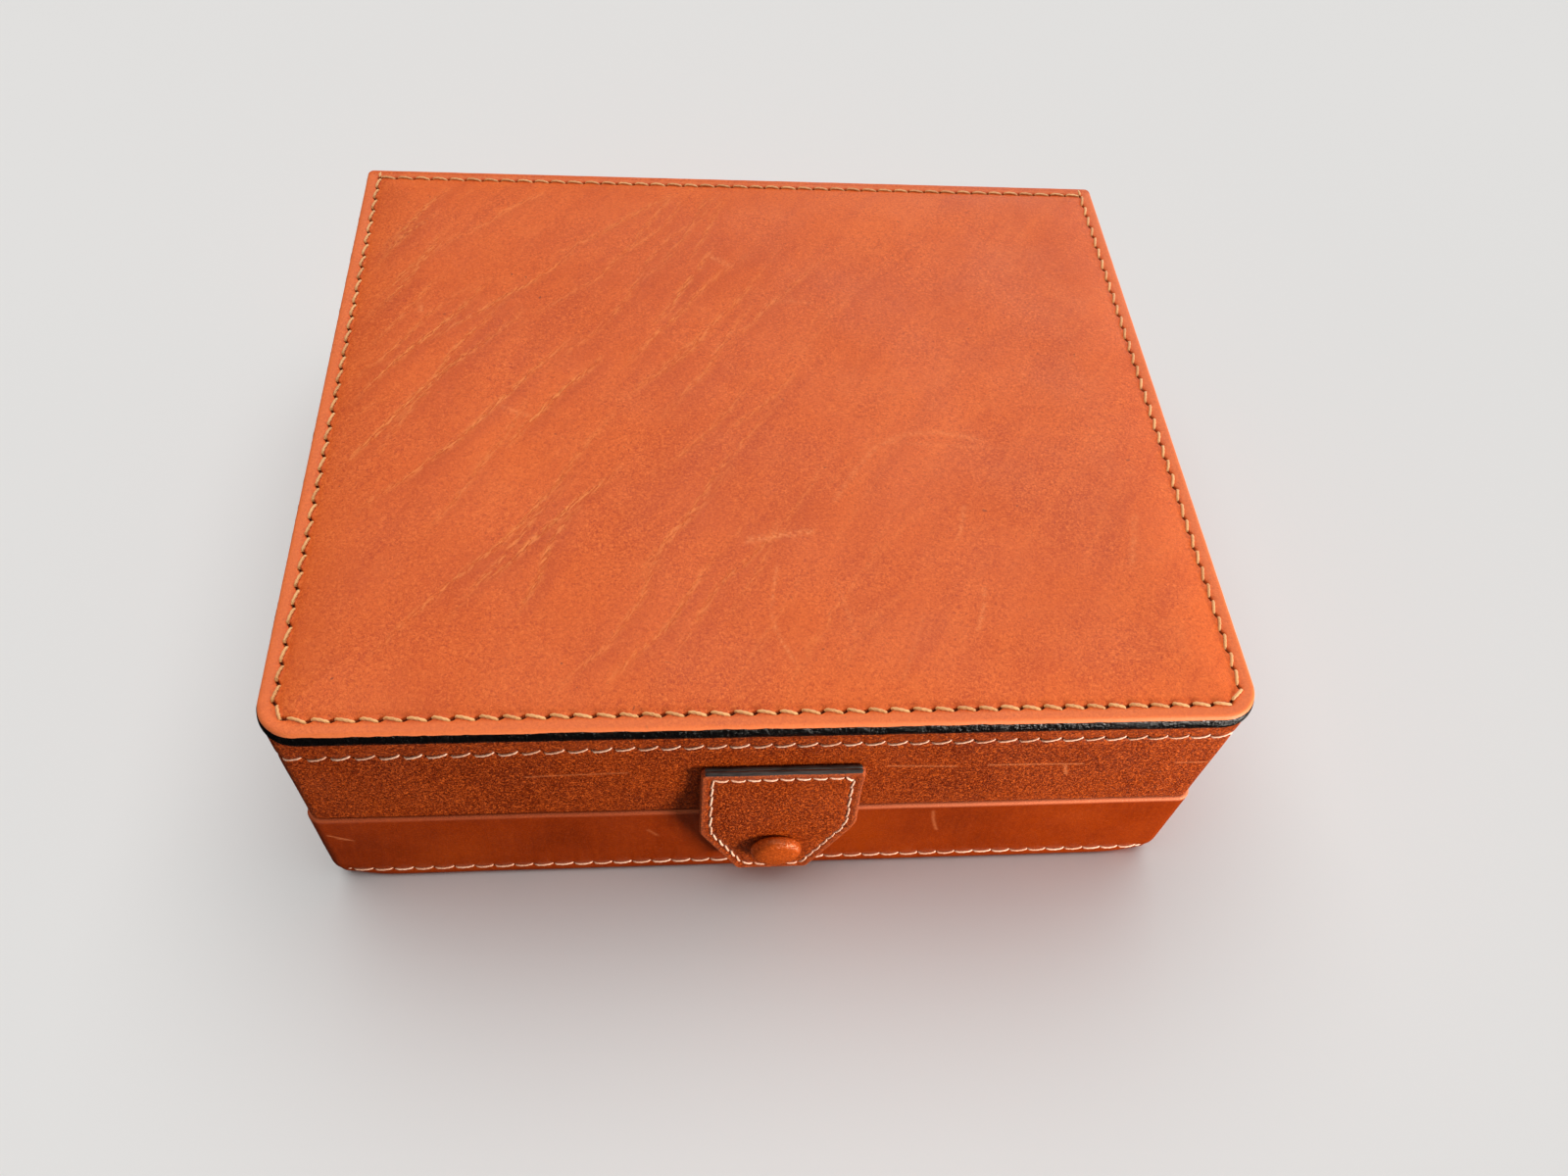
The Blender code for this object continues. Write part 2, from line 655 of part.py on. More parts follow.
def make_cap(middle, paint):
    """The leather-covered cap on the tab's face, and the socket that it clamps on the back."""
    seat = TAB_STANDOFF + TAB_THICKNESS + GAP  # distances run forward from the base's leather
    dome = [
        (CAP_RADIUS, seat),
        (CAP_RADIUS, seat + 0.9 * MM),
        (0.93 * CAP_RADIUS, seat + 1.9 * MM),
        (0.74 * CAP_RADIUS, seat + 2.8 * MM),
        (0.42 * CAP_RADIUS, seat + 3.25 * MM),
        (0.1 * CAP_RADIUS, seat + CAP_THICKNESS),
    ]
    room_radius, room_depth = 4.6 * MM, 1.6 * MM
    hollow = [
        (0.1 * CAP_RADIUS, seat + room_depth),
        (room_radius, seat + room_depth),
        (room_radius, seat),
    ]
    cap = turned("snap_cap_leather", hollow + dome, paint["saddle_leather"], middle)
    post_radius = 1.3 * MM
    disc_radius, disc_thickness = room_radius - GAP, 1 * MM
    stud_reach = 1.8 * MM
    post = [
        (post_radius, stud_reach - 0.3 * MM + 2 * GAP),
        (post_radius, seat + GAP),
        (disc_radius, seat + GAP),
        (disc_radius, seat + GAP + disc_thickness - 0.3 * MM),
        (disc_radius - 0.5 * MM, seat + GAP + disc_thickness),
    ]
    shank = turned("snap_cap_post", post, paint["snap_metal"], middle)
    plate = 0.35 * MM
    socket_back = TAB_STANDOFF - GAP
    socket = [
        (1.7 * MM, socket_back),
        (4.6 * MM, socket_back),
        (4.6 * MM, 1.2 * MM),
        (4.2 * MM, 1.1 * MM),
        (2.5 * MM, 1.1 * MM),
        (2.5 * MM, socket_back - plate),
        (1.7 * MM, socket_back - plate),
    ]
    ring = turned("snap_socket", socket, paint["snap_metal"], middle, ring=True)
    return [cap, shank, ring]


def make_stud(front_board, leather, paint):
    """The stud on the front of the base, and the rivet that holds it from inside."""
    middle = (TAB_CENTRE_X, BASE_FRONT, STUD_HEIGHT)
    stud = [
        (4.2 * MM, GAP),
        (4.2 * MM, 0.7 * MM),
        (3.6 * MM, 0.8 * MM),
        (1.9 * MM, 0.8 * MM),
        (1.8 * MM, 1.1 * MM),
        (2.15 * MM, 1.5 * MM),
        (1.7 * MM, 1.8 * MM),
    ]
    turned("snap_stud", stud, paint["snap_metal"], middle)
    head_depth = 0.7 * MM
    board_back = -(BOARD_INSET + BASE_BOARD)
    rivet = [
        (3.6 * MM, board_back + GAP),
        (3.6 * MM, board_back + GAP + head_depth),
        (1.2 * MM, board_back + GAP + head_depth),
        (1.2 * MM, 0.0),
    ]
    turned("snap_rivet", rivet, paint["snap_metal"], middle)
    hole = [
        (4 * MM, board_back - 1 * MM),
        (4 * MM, board_back + 2 * GAP + head_depth),
        (1.5 * MM, board_back + 2 * GAP + head_depth),
        (1.5 * MM, 1 * MM),
    ]
    cutter = helper("rivet_hole", turned("rivet_hole", hole, paint["snap_metal"], middle))
    combine(front_board, cutter, "DIFFERENCE")
    combine(leather, cutter, "DIFFERENCE")


# --- Assembly ---------------------------------------------------------------------------------
def axis_empty(name, place, parent=None):
    made = bpy.data.objects.new(name, None)
    made.empty_display_size = 10 * MM
    bpy.context.scene.collection.objects.link(made)
    made.location = place
    if parent:
        hang([made], parent)
    return made


def hang(pieces, parent):
    """Parents pieces to an empty that isn't rotated, leaving them where they are."""
    bpy.context.view_layer.update()
    centre = parent.matrix_world.translation.copy()
    for piece in pieces:
        piece.parent = parent
        piece.location = [a - b for a, b in zip(piece.location, centre)]


def main():
    for old in list(bpy.data.objects):
        bpy.data.objects.remove(old, do_unlink=True)
    paint = make_materials()
    lid_axis = axis_empty("lid_hinge_axis", LID_AXIS)
    tab_axis = axis_empty("tab_flex_axis", TAB_AXIS, lid_axis)
    front_board, leather = make_base(paint)
    make_base_interior(paint)
    make_stud(front_board, leather, paint)
    hang(make_lid(paint), lid_axis)
    hang(make_lid_interior(paint), lid_axis)
    hang(make_tab_anchor(paint), lid_axis)
    hang(make_tab_flap(paint), tab_axis)


main()
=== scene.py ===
"""The looks of the leather jewellery case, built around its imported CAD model.

Everything is in metres in the model's own frame: +X right, +Y back, +Z up, and the origin in the
middle of the underside.
"""

import json
import math
import random

import bmesh
import bpy
import numpy as np
from mathutils import Matrix, Vector, noise
from mathutils.kdtree import KDTree


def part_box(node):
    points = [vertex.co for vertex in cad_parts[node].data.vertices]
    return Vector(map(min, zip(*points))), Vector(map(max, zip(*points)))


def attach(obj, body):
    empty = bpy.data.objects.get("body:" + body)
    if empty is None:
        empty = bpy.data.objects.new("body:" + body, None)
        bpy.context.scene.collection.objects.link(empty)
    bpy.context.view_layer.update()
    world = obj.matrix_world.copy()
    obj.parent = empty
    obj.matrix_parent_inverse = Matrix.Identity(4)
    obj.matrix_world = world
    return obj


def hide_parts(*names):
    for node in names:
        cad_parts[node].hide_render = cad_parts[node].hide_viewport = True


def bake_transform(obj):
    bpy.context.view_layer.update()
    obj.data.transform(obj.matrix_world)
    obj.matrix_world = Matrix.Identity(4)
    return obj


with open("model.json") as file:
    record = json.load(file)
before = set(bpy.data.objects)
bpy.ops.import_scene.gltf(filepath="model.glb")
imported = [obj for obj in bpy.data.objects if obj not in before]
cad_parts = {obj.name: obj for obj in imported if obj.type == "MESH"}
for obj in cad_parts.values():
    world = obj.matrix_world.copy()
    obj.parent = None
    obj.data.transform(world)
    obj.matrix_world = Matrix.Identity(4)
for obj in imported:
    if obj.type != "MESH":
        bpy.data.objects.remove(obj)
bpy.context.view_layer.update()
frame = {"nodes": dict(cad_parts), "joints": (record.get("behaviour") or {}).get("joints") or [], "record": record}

MM = 0.001
BODY_OF = {
    node: body for body, nodes in frame["record"]["behaviour"]["bodies"].items() for node in nodes
}
SLOT_OF = {subpart["node"]: subpart["material_slot"] for subpart in frame["record"]["subparts"]}

# --- Places, from the CAD model ---------------------------------------------------------------
TOP_LOW, TOP_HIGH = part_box("top_leather")
UNDERLAY_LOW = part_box("top_underlay")[0]
LID_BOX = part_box("lid_band")
BASE_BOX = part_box("base_band")
SPINE_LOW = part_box("spine_base")[0]
TAB_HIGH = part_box("tab_anchor_face")[1]
TAB_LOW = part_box("tab_face")[0]
CAP_LOW, CAP_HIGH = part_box("snap_cap_leather")
JOINTS = {joint["name"]: Vector(joint["pos_m"]) for joint in frame["joints"]}
HINGE, TAB_FOLD = JOINTS["lid_hinge"], JOINTS["tab_flex"]
THREAD_PROUD = 0.3 * MM
BORDER_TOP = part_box("top_thread")[1].z - THREAD_PROUD  # the panel's surface at its stitches
LID_ROW = sum(corner.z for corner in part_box("lid_band_thread")) / 2
BASE_ROW = sum(corner.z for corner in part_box("base_band_thread")) / 2

PANEL_CORNER = 8 * MM
PANEL_BACK_CORNER = 1.6 * MM
BODY_CORNER = 3.2 * MM
WRINKLE_TURN = 56  # degrees from +X
STITCH_INSET = 3.3 * MM
STITCH_PITCH = 4.5 * MM  # on the top and the spine
HOLE_REACH = 1.6 * MM  # how far from a row its holes can mark the leather
SPINE_BEND = 4 * MM  # half the height about the hinge given to bend() for the spine, and the same for the tab
TAB_BEND = 3 * MM
ROLL_SWELL = 0.9 * MM  # how far a ring roll's suede may move as it settles
TAB_THICKNESS = 2.2 * MM
TAB_STANDOFF = 2.6 * MM
TAB_HALF = 17.3 * MM
TAB_HALF_FOOT = 8 * MM
TAB_TAPER = 31 * MM
TAB_INSET = 2.3 * MM

CAMERA_PLACE = (-0.0232, -0.2003, 0.2807)
CAMERA_ANGLES = (-10.15, 54.37, 7.83)  # azimuth, elevation and roll, in degrees
CAMERA_LENS = 27.85

# Old marks in the leather, in millimetres: (points, half width, strength). On the top they are x
# and y, and on the bands x and height.
TOP_MARKS = (
    (((-4, -41.4), (3, -40), (10, -39)), 0.75, 0.9),
    (((2, -48), (0.6, -55), (0, -61), (1, -66), (4, -72)), 0.28, 0.75),
    (((16, -30), (23, -19), (29, -12), (41, -9), (52, -12)), 0.7, 0.4),
    (((30, -13), (44, -13.5), (58, -15)), 0.5, 0.25),
    (((45, -32), (44, -37), (42, -41)), 0.4, 0.6),
    (((46, -54), (45, -60), (43, -65)), 0.5, 0.55),
    (((84, -35), (82, -42), (80, -49)), 0.7, 0.45),
    (((-59, -2), (-56, -4), (-53, -5)), 0.6, 0.6),
    (((-9, 51), (-7, 50), (-5, 48)), 0.7, 0.7),
    (((-80.5, 31.5), (-80, 29)), 0.5, 0.8),
    (((32, -61), (29, -69), (26, -76)), 0.35, 0.3),
    (((4, 33), (9, 35), (16, 34)), 0.6, 0.35),
    (((14, -52), (16, -60), (17, -66)), 0.35, 0.35),
)
LID_MARKS = (
    (((-51, 49.8), (-42, 50.4), (-30, 50.8)), 0.22, 0.7),
    (((25, 51.2), (32, 50.8), (40, 50.2)), 0.25, 0.8),
    (((47, 50.5), (58, 50.4), (68, 50.1)), 0.25, 0.85),
    (((64.2, 49.6), (64.8, 47.5), (65.5, 45.4)), 0.35, 0.8),
    (((89, 49.6), (98, 49.5)), 0.22, 0.8),
    (((-15, 42), (-10, 41)), 0.3, 0.4),
)
BASE_MARKS = (
    (((-96, 24.6), (-94, 23.4), (-92, 22.2)), 0.25, 0.8),
    (((-94.5, 22.9), (-91, 21.6)), 0.22, 0.6),
    (((38.7, 29), (39.6, 24), (41.3, 18.8)), 0.35, 0.5),
    (((-26, 23), (-24, 20)), 0.4, 0.35),
)


# --- Camera -----------------------------------------------------------------------------------
def add(name, data):
    """A new object in the scene."""
    made = bpy.data.objects.new(name, data)
    bpy.context.scene.collection.objects.link(made)
    return made


def make_camera():
    data = bpy.data.cameras.new("camera")
    data.sensor_width, data.lens, data.clip_start = 36, CAMERA_LENS, 0.01
    camera = add("camera", data)
    azimuth, elevation, roll = (math.radians(angle) for angle in CAMERA_ANGLES)
    turn = Matrix.Rotation(azimuth, 4, "Z")
    tilt = Matrix.Rotation(math.pi / 2 - elevation, 4, "X")
    camera.matrix_world = Matrix.Translation(CAMERA_PLACE) @ turn @ tilt @ Matrix.Rotation(roll, 4, "Z")
    bpy.context.scene.camera = camera


# --- Shader helpers ---------------------------------------------------------------------------
class Shader:
    """A new Principled material, and short calls that add nodes to it."""

    def __init__(self, name, roughness=0.5, metallic=0.0, coat=0.0, coat_roughness=0.2, level=0.5):
        self.material = bpy.data.materials.new(name)
        self.material.use_nodes = True
        self.tree = self.material.node_tree
        self.surface = self.tree.nodes["Principled BSDF"]
        self.surface.inputs["Roughness"].default_value = roughness
        self.surface.inputs["Metallic"].default_value = metallic
        self.surface.inputs["Specular IOR Level"].default_value = level
        self.surface.inputs["Coat Weight"].default_value = coat
        self.surface.inputs["Coat Roughness"].default_value = coat_roughness
        self.place = self.tree.nodes.new("ShaderNodeTexCoord").outputs["Object"]

    def link(self, source, target):
        if hasattr(source, "is_linked"):
            self.tree.links.new(source, target)
        else:
            target.default_value = source

    def stretched(self, stretch, turn=0.0):
        """Coordinates for a texture stretched this many times along each axis, turned about Z."""
        node = self.tree.nodes.new("ShaderNodeMapping")
        node.vector_type = "TEXTURE"
        node.inputs["Rotation"].default_value = (0, 0, math.radians(turn))
        node.inputs["Scale"].default_value = stretch
        self.link(self.place, node.inputs["Vector"])
        return node.outputs[0]

    def noise(self, scale, detail=2.0, rough=0.5, distortion=0.0, vector=None):
        node = self.tree.nodes.new("ShaderNodeTexNoise")
        node.inputs["Scale"].default_value = scale
        node.inputs["Detail"].default_value = detail
        node.inputs["Roughness"].default_value = rough
        node.inputs["Distortion"].default_value = distortion
        self.link(vector or self.place, node.inputs["Vector"])
        return node.outputs["Fac"]

    def cells(self, scale):
        node = self.tree.nodes.new("ShaderNodeTexVoronoi")
        node.feature = "DISTANCE_TO_EDGE"
        node.inputs["Scale"].default_value = scale
        self.link(self.place, node.inputs["Vector"])
        return node.outputs["Distance"]

    def ramp(self, source, *stops):
        """A ramp through (position, value or colour) stops."""
        node = self.tree.nodes.new("ShaderNodeValToRGB")
        elements = node.color_ramp.elements
        while len(elements) < len(stops):
            elements.new(0.5)
        for element, (position, value) in zip(elements, stops):
            element.position = position
            colour = (value, value, value) if isinstance(value, (int, float)) else value
            element.color = (*colour, 1)
        self.link(source, node.inputs["Fac"])
        return node.outputs["Color"]

    def times(self, first, second):
        node = self.tree.nodes.new("ShaderNodeMath")
        node.operation = "MULTIPLY"
        self.link(first, node.inputs[0])
        self.link(second, node.inputs[1])
        return node.outputs[0]

    def mix(self, share, first, second):
        node = self.tree.nodes.new("ShaderNodeMix")
        node.data_type = "RGBA"
        self.link(share, node.inputs["Factor"])
        for value, socket in ((first, node.inputs[6]), (second, node.inputs[7])):
            self.link((*value, 1) if isinstance(value, tuple) else value, socket)
        return node.outputs[2]

    def attribute(self, name):
        node = self.tree.nodes.new("ShaderNodeAttribute")
        node.attribute_name = name
        return node.outputs["Fac"]

    def bump(self, height, distance, strength=1.0):
        """Adds a bump of this many metres on top of those before it."""
        node = self.tree.nodes.new("ShaderNodeBump")
        node.inputs["Strength"].default_value = strength
        node.inputs["Distance"].default_value = distance
        self.link(height, node.inputs["Height"])
        if self.surface.inputs["Normal"].is_linked:
            before = self.surface.inputs["Normal"].links[0].from_socket
            self.link(before, node.inputs["Normal"])
        self.link(node.outputs[0], self.surface.inputs["Normal"])

    def colour(self, source):
        self.link(source, self.surface.inputs["Base Color"])

    def roughness(self, source):
        """The roughness, which is high inside the stitch holes."""
        source = self.mix(self.attribute("hole"), source, (0.95, 0.95, 0.95))
        self.link(source, self.surface.inputs["Roughness"])


# --- Materials --------------------------------------------------------------------------------
def saddle_leather():
    """Orange-tan leather of the top, with growth wrinkles, scuffs and a few dark specks."""
    s = Shader("saddle_leather", level=0.32)
    tones = (0.3, (0.61, 0.085, 0.005)), (0.5, (0.67, 0.102, 0.008)), (0.7, (0.73, 0.122, 0.012))
    tone = s.ramp(s.noise(17, 5, 0.6), *tones)
    # Soft bands of deeper and paler colour run the same way as the wrinkles.
    bands = s.noise(120, 3, 0.6, 0.5, vector=s.stretched((4, 1, 1), WRINKLE_TURN))
    tone = s.mix(s.ramp(bands, (0.34, 0.45), (0.5, 0.0)), tone, (0.54, 0.066, 0.004))
    tone = s.mix(s.ramp(bands, (0.52, 0.0), (0.68, 0.3)), tone, (0.78, 0.135, 0.012))
    # Fine grain: small pits with paler rims, and a rougher patchiness between them.
    pits = s.cells(1900)
    grain = s.noise(1700, 4, 0.72, 0.8)
    # mix_weight: patches of wear, where the grain shows more.
    mix_weight = s.ramp(s.noise(50, 3), (0.35, 0.55), (0.7, 1.0))
    pale = s.times(s.ramp(grain, (0.51, 0.0), (0.63, 0.7)), mix_weight)
    colour = s.mix(pale, tone, (0.88, 0.2, 0.035))
    dark = s.times(s.ramp(grain, (0.36, 0.8), (0.48, 0.0)), mix_weight)
    colour = s.mix(dark, colour, (0.42, 0.04, 0.002))
    # Wrinkles: each is a band of finer pale creases that run along it, with painted shade on one side.
    creases = s.noise(1900, 3, 0.65, 0.6, vector=s.stretched((5, 1, 1), WRINKLE_TURN))
    crease = s.times(s.attribute("wrinkle"), s.ramp(creases, (0.46, 0.0), (0.56, 1.0)))
    colour = s.mix(s.times(s.attribute("shade"), 0.4), colour, (0.46, 0.05, 0.003))
    colour = s.mix(s.times(crease, 0.9), colour, (0.98, 0.29, 0.07))
    # Scuffs are broken up by the grain. Specks are dark and rare.
    broken = s.ramp(s.noise(1100, 4, 0.75), (0.4, 0.0), (0.62, 0.8))
    colour = s.mix(s.times(s.attribute("mark"), broken), colour, (0.9, 0.29, 0.085))
    haze = s.ramp(s.noise(42, 6, 0.78, 1.6), (0.53, 0.0), (0.7, 0.2))
    colour = s.mix(haze, colour, (0.8, 0.18, 0.035))
    speck = s.ramp(s.noise(800, 0), (0.84, 0.0), (0.87, 1.0))
    rare = s.ramp(s.noise(45, 1), (0.55, 0.0), (0.62, 0.7))
    colour = s.mix(s.times(speck, rare), colour, (0.2, 0.035, 0.01))
    # The top's paler, burnished border and edge.
    colour = s.mix(s.attribute("rim"), colour, (0.86, 0.2, 0.055))
    # Painted shade inside the stitch holes.
    colour = s.mix(s.attribute("hole"), colour, (0.06, 0.01, 0.003))
    s.colour(colour)
    s.roughness(s.ramp(s.noise(40, 3), (0.35, 0.5), (0.65, 0.6)))
    s.bump(grain, 0.16 * MM, 0.7)
    s.bump(pits, 0.08 * MM, 0.5)
    s.bump(crease, 0.14 * MM, 0.9)
    s.bump(s.noise(420, 2, 0.5), 0.08 * MM, 0.4)
    return s.material


def band_leather(name, base, deep, pale, grain, roughness, level):
    """Brown-orange leather of the sides. grain is how strong its pebbles are, from 0 to 1."""
    s = Shader(name, level=level)
    s.surface.inputs["Specular Tint"].default_value = (1, 0.5, 0.25, 1)
    tone = s.ramp(s.noise(34, 4, 0.6), (0.34, deep), (0.52, base), (0.74, pale))
    # light is painted highlight: glints on the tops of the pebbles, mixed in below.
    light = tuple(1.5 * c + extra for c, extra in zip(pale, (0.2, 0.055, 0.008)))
    dark = tuple(0.4 * c for c in deep)
    pebble = s.noise(2200, 3, 0.66, 0.9)
    pits = s.cells(1900)
    colour = s.mix(s.ramp(pebble, (0.38, 0.9 * grain), (0.5, 0.0)), tone, dark)
    colour = s.mix(s.ramp(pebble, (0.53, 0.0), (0.62, 0.85 * grain)), colour, light)
    # Upright streaks, faint, as left by burnishing.
    streak = s.noise(700, 3, 0.6, vector=s.stretched((1, 1, 12)))
    colour = s.mix(s.ramp(streak, (0.45, 0.0), (0.75, 0.25)), colour, pale)
    colour = s.mix(s.ramp(streak, (0.3, 0.25), (0.45, 0.0)), colour, deep)
    mark = s.times(s.attribute("mark"), s.ramp(s.noise(1500, 3, 0.7), (0.3, 0.5), (0.55, 1.0)))
    colour = s.mix(s.times(mark, 0.6), colour, (0.8, 0.24, 0.08))
    # Painted highlight on the base band's top rim; on the tab, its paler burnished margin and cut edge.
    colour = s.mix(s.attribute("rim"), colour, (0.75, 0.2, 0.085))
    # Painted shade inside the stitch holes.
    colour = s.mix(s.attribute("hole"), colour, (0.03, 0.004, 0.001))
    s.colour(colour)
    s.roughness(s.ramp(s.noise(90, 3), (0.3, roughness - 0.07), (0.7, roughness + 0.08)))
    s.bump(s.noise(260, 2, 0.5), 0.12 * MM, 0.5)
    s.bump(pebble, 0.3 * MM * grain + 0.02 * MM, 0.9)
    s.bump(pits, 0.1 * MM * grain + 0.01 * MM, 0.6)
    return s.material


def edge_paint():
    """Gloss black paint on the cut edges, with small lumps in it."""
    s = Shader("edge_paint", level=0.4)
    s.surface.inputs["Specular Tint"].default_value = (1, 0.9, 0.78, 1)
    # mix_weight: where the paint is worn thin and shows brown.
    mix_weight = s.ramp(s.noise(700, 3), (0.62, 0.0), (0.74, 0.6))
    s.colour(s.mix(mix_weight, (0.002, 0.0015, 0.0015), (0.03, 0.014, 0.009)))
    s.roughness(s.ramp(s.noise(240, 3), (0.35, 0.12), (0.7, 0.36)))
    s.bump(s.noise(1100, 3, 0.6), 0.6 * MM, 1.0)
    s.bump(s.noise(260, 2), 0.35 * MM, 0.8)
    return s.material


def raw_edge():
    """Dark dyed edge of the tab, whose fibres run along its layers."""
    s = Shader("raw_edge", roughness=0.6)
    fibre = s.noise(1500, 4, 0.7, vector=s.stretched((10, 1, 1)))
    s.colour(s.ramp(fibre, (0.35, (0.008, 0.006, 0.005)), (0.62, (0.085, 0.068, 0.055))))
    s.bump(fibre, 0.25 * MM, 0.8)
    return s.material


def thread_material(name, base, pale, deep):
    s = Shader(name, roughness=0.5, coat=0.15, coat_roughness=0.35)
    s.surface.inputs["Sheen Weight"].default_value = 0.2
    fibre = s.noise(4200, 3, 0.65)
    colour = s.mix(s.ramp(fibre, (0.35, 0.0), (0.62, 1.0)), deep, base)
    colour = s.mix(s.attribute("shade"), colour, pale)
    s.colour(colour)
    s.bump(fibre, 0.05 * MM, 0.8)
    return s.material


def suede(name, base, pale, deep):
    """Napped leather: softly clouded where the nap lies over, with short fibres."""
    s = Shader(name, roughness=0.95, level=0.15)
    s.surface.inputs["Sheen Weight"].default_value = 0.25
    s.surface.inputs["Sheen Roughness"].default_value = 0.5
    s.surface.inputs["Sheen Tint"].default_value = (*pale, 1)
    cloud = s.noise(38, 3, 0.55)
    stroke = s.noise(260, 3, 0.6, vector=s.stretched((2.5, 1, 1), 25))
    fibre = s.noise(2600, 3, 0.75)
    colour = s.ramp(cloud, (0.36, deep), (0.5, base), (0.66, pale))
    colour = s.mix(s.ramp(stroke, (0.35, 0.35), (0.55, 0.0)), colour, deep)
    colour = s.mix(s.ramp(fibre, (0.35, 0.5), (0.52, 0.0)), colour, deep)
    s.colour(s.mix(s.ramp(fibre, (0.5, 0.0), (0.7, 0.45)), colour, pale))
    s.bump(fibre, 0.14 * MM, 0.8)
    s.bump(stroke, 0.12 * MM, 0.5)
    return s.material


def board():
    s = Shader("board", roughness=0.85)
    fibre = s.noise(700, 4, 0.7, vector=s.stretched((1, 1, 5)))
    s.colour(s.ramp(fibre, (0.3, (0.3, 0.21, 0.13)), (0.7, (0.47, 0.36, 0.24))))
    s.bump(fibre, 0.1 * MM, 0.6)
    return s.material


def felt():
    s = Shader("felt_padding", roughness=0.95)
    s.surface.inputs["Sheen Weight"].default_value = 0.3
    fibre = s.noise(900, 5, 0.75, 2.0)
    s.colour(s.ramp(fibre, (0.35, (0.55, 0.5, 0.42)), (0.65, (0.78, 0.74, 0.66))))
    s.bump(fibre, 0.3 * MM, 0.8)
    return s.material


def brass():
    s = Shader("antique_brass", roughness=0.32, metallic=1.0)
    tarnish = s.noise(420, 4, 0.65)
    s.colour(s.ramp(tarnish, (0.35, (0.2, 0.12, 0.045)), (0.6, (0.55, 0.38, 0.16))))
    s.roughness(s.ramp(tarnish, (0.35, 0.5), (0.65, 0.26)))
    s.bump(s.noise(2400, 2), 0.02 * MM, 0.6)
    return s.material


def mirror():
    """Silvered glass with a slight uneven haze, as on an old mirror."""
    s = Shader("mirror", roughness=0.03, metallic=1.0)
    haze = s.noise(38, 4, 0.7)
    s.colour(s.ramp(haze, (0.35, (0.86, 0.88, 0.88)), (0.7, (0.93, 0.94, 0.94))))
    s.roughness(s.ramp(haze, (0.4, 0.015), (0.75, 0.06)))
    return s.material


# --- Meshes -----------------------------------------------------------------------------------
def mesh_object(name, points, faces, surfaces, sharp=50, second=None, **attributes):
    """A smooth-shaded object from points and faces. Each attribute is one number per point.

    surfaces is one material or two; second(face centre) tells which faces take the second one.
    """
    data = bpy.data.meshes.new(name)
    data.from_pydata([tuple(point) for point in points], [], faces)
    work = bmesh.new()
    work.from_mesh(data)
    bmesh.ops.recalc_face_normals(work, faces=work.faces)
    work.to_mesh(data)
    work.free()
    data.shade_smooth()
    data.set_sharp_from_angle(angle=math.radians(sharp))
    for key, values in attributes.items():
        layer = data.attributes.new(key, "FLOAT", "POINT")
        layer.data.foreach_set("value", np.asarray(values, np.float32))
    for surface in surfaces if isinstance(surfaces, tuple) else (surfaces,):
        data.materials.append(surface)
    if second:
        data.polygons.foreach_set("material_index", [int(second(p.center)) for p in data.polygons])
    return add(name, data)


def place(made, body, slot, *nodes):
    """Ties a finished piece to its body and hides the CAD nodes it stands for. slot is not used."""
    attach(made, body)
    if nodes:
        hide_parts(*nodes)
    return made


def bend(made, lower, upper, fold, reach, slot, *nodes):
    """Bakes a piece's transform into its mesh and hides the CAD nodes it stands for. lower, upper, fold and reach
    are not used.
    """
    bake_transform(made)
    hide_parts(*nodes)


def loft_faces(sections, count, closed=False):
    """Faces that join sections of count points, each a closed loop, with the ends filled."""
    faces = []
    for i in range(sections if closed else sections - 1):
        a, b = i * count, (i + 1) % sections * count
        for j in range(count):
            k = (j + 1) % count
            faces.append((a + j, b + j, b + k, a + k))
    if not closed:
        faces.append(tuple(range(count)))
        faces.append(tuple(range((sections - 1) * count, sections * count)))
    return faces


def spaced(start, end, step):
    """Evenly spaced numbers from start to end, about one step apart."""
    return list(np.linspace(start, end, max(2, round(abs(end - start) / step) + 1)))


def stops(low, high, edge, inset, step):
    """Positions from low to high: at these distances from both ends, and evenly spaced between."""
    inner = spaced(low + inset, high - inset, step)
    return [low + d for d in edge] + inner + [high - d for d in reversed(edge)]


def quarter(steps, count):
    """(sine, 1 - cosine) at these of the count equal steps of a quarter turn."""
    angles = [math.pi / 2 * k / count for k in steps]
    return [(math.sin(angle), 1 - math.cos(angle)) for angle in angles]


def with_height(plan, height=0.0):
    """Plan points or directions made 3-D, with one height or a height for each."""
    return np.column_stack((plan, np.broadcast_to(height, len(plan))))


def rounding(inset, radius):
    """How far a rounded edge lies below its face, this far in from the edge."""
    fall = min(max(radius - inset, 0.0), radius)
    return radius - math.sqrt(radius**2 - fall**2)


def smooth(share):
    """From 0 to 1 without corners, as share goes from 0 to 1."""
    share = min(max(share, 0.0), 1.0)
    return share * share * (3 - 2 * share)


def bell(distance, width):
    """1 on a line, and falling off softly about this far from it."""
    return math.exp(-((distance / width) ** 2))


def trace(parts, step):
    """(points, outward directions) along lines and arcs, clockwise seen from above.

    A line is (start, end) and an arc is (centre, radius, start angle, end angle) in degrees.
    """
    points, outward = [], []
    for part in parts:
        if len(part) == 2:
            start, end = (np.array(p, float) for p in part)
            size = np.linalg.norm(end - start)
            way = (end - start) / size
            count = max(1, round(size / step))
            points += [start + way * size * i / count for i in range(count)]
            outward += [(-way[1], way[0])] * count
        else:
            centre, radius, first, last = part
            count = max(3, round(math.radians(abs(last - first)) * radius / step))
            for i in range(count):
                angle = math.radians(first + (last - first) * i / count)
                outward.append((math.cos(angle), math.sin(angle)))
                points.append(np.array(centre) + np.array(outward[-1]) * radius)
    return np.array(points), np.array(outward)


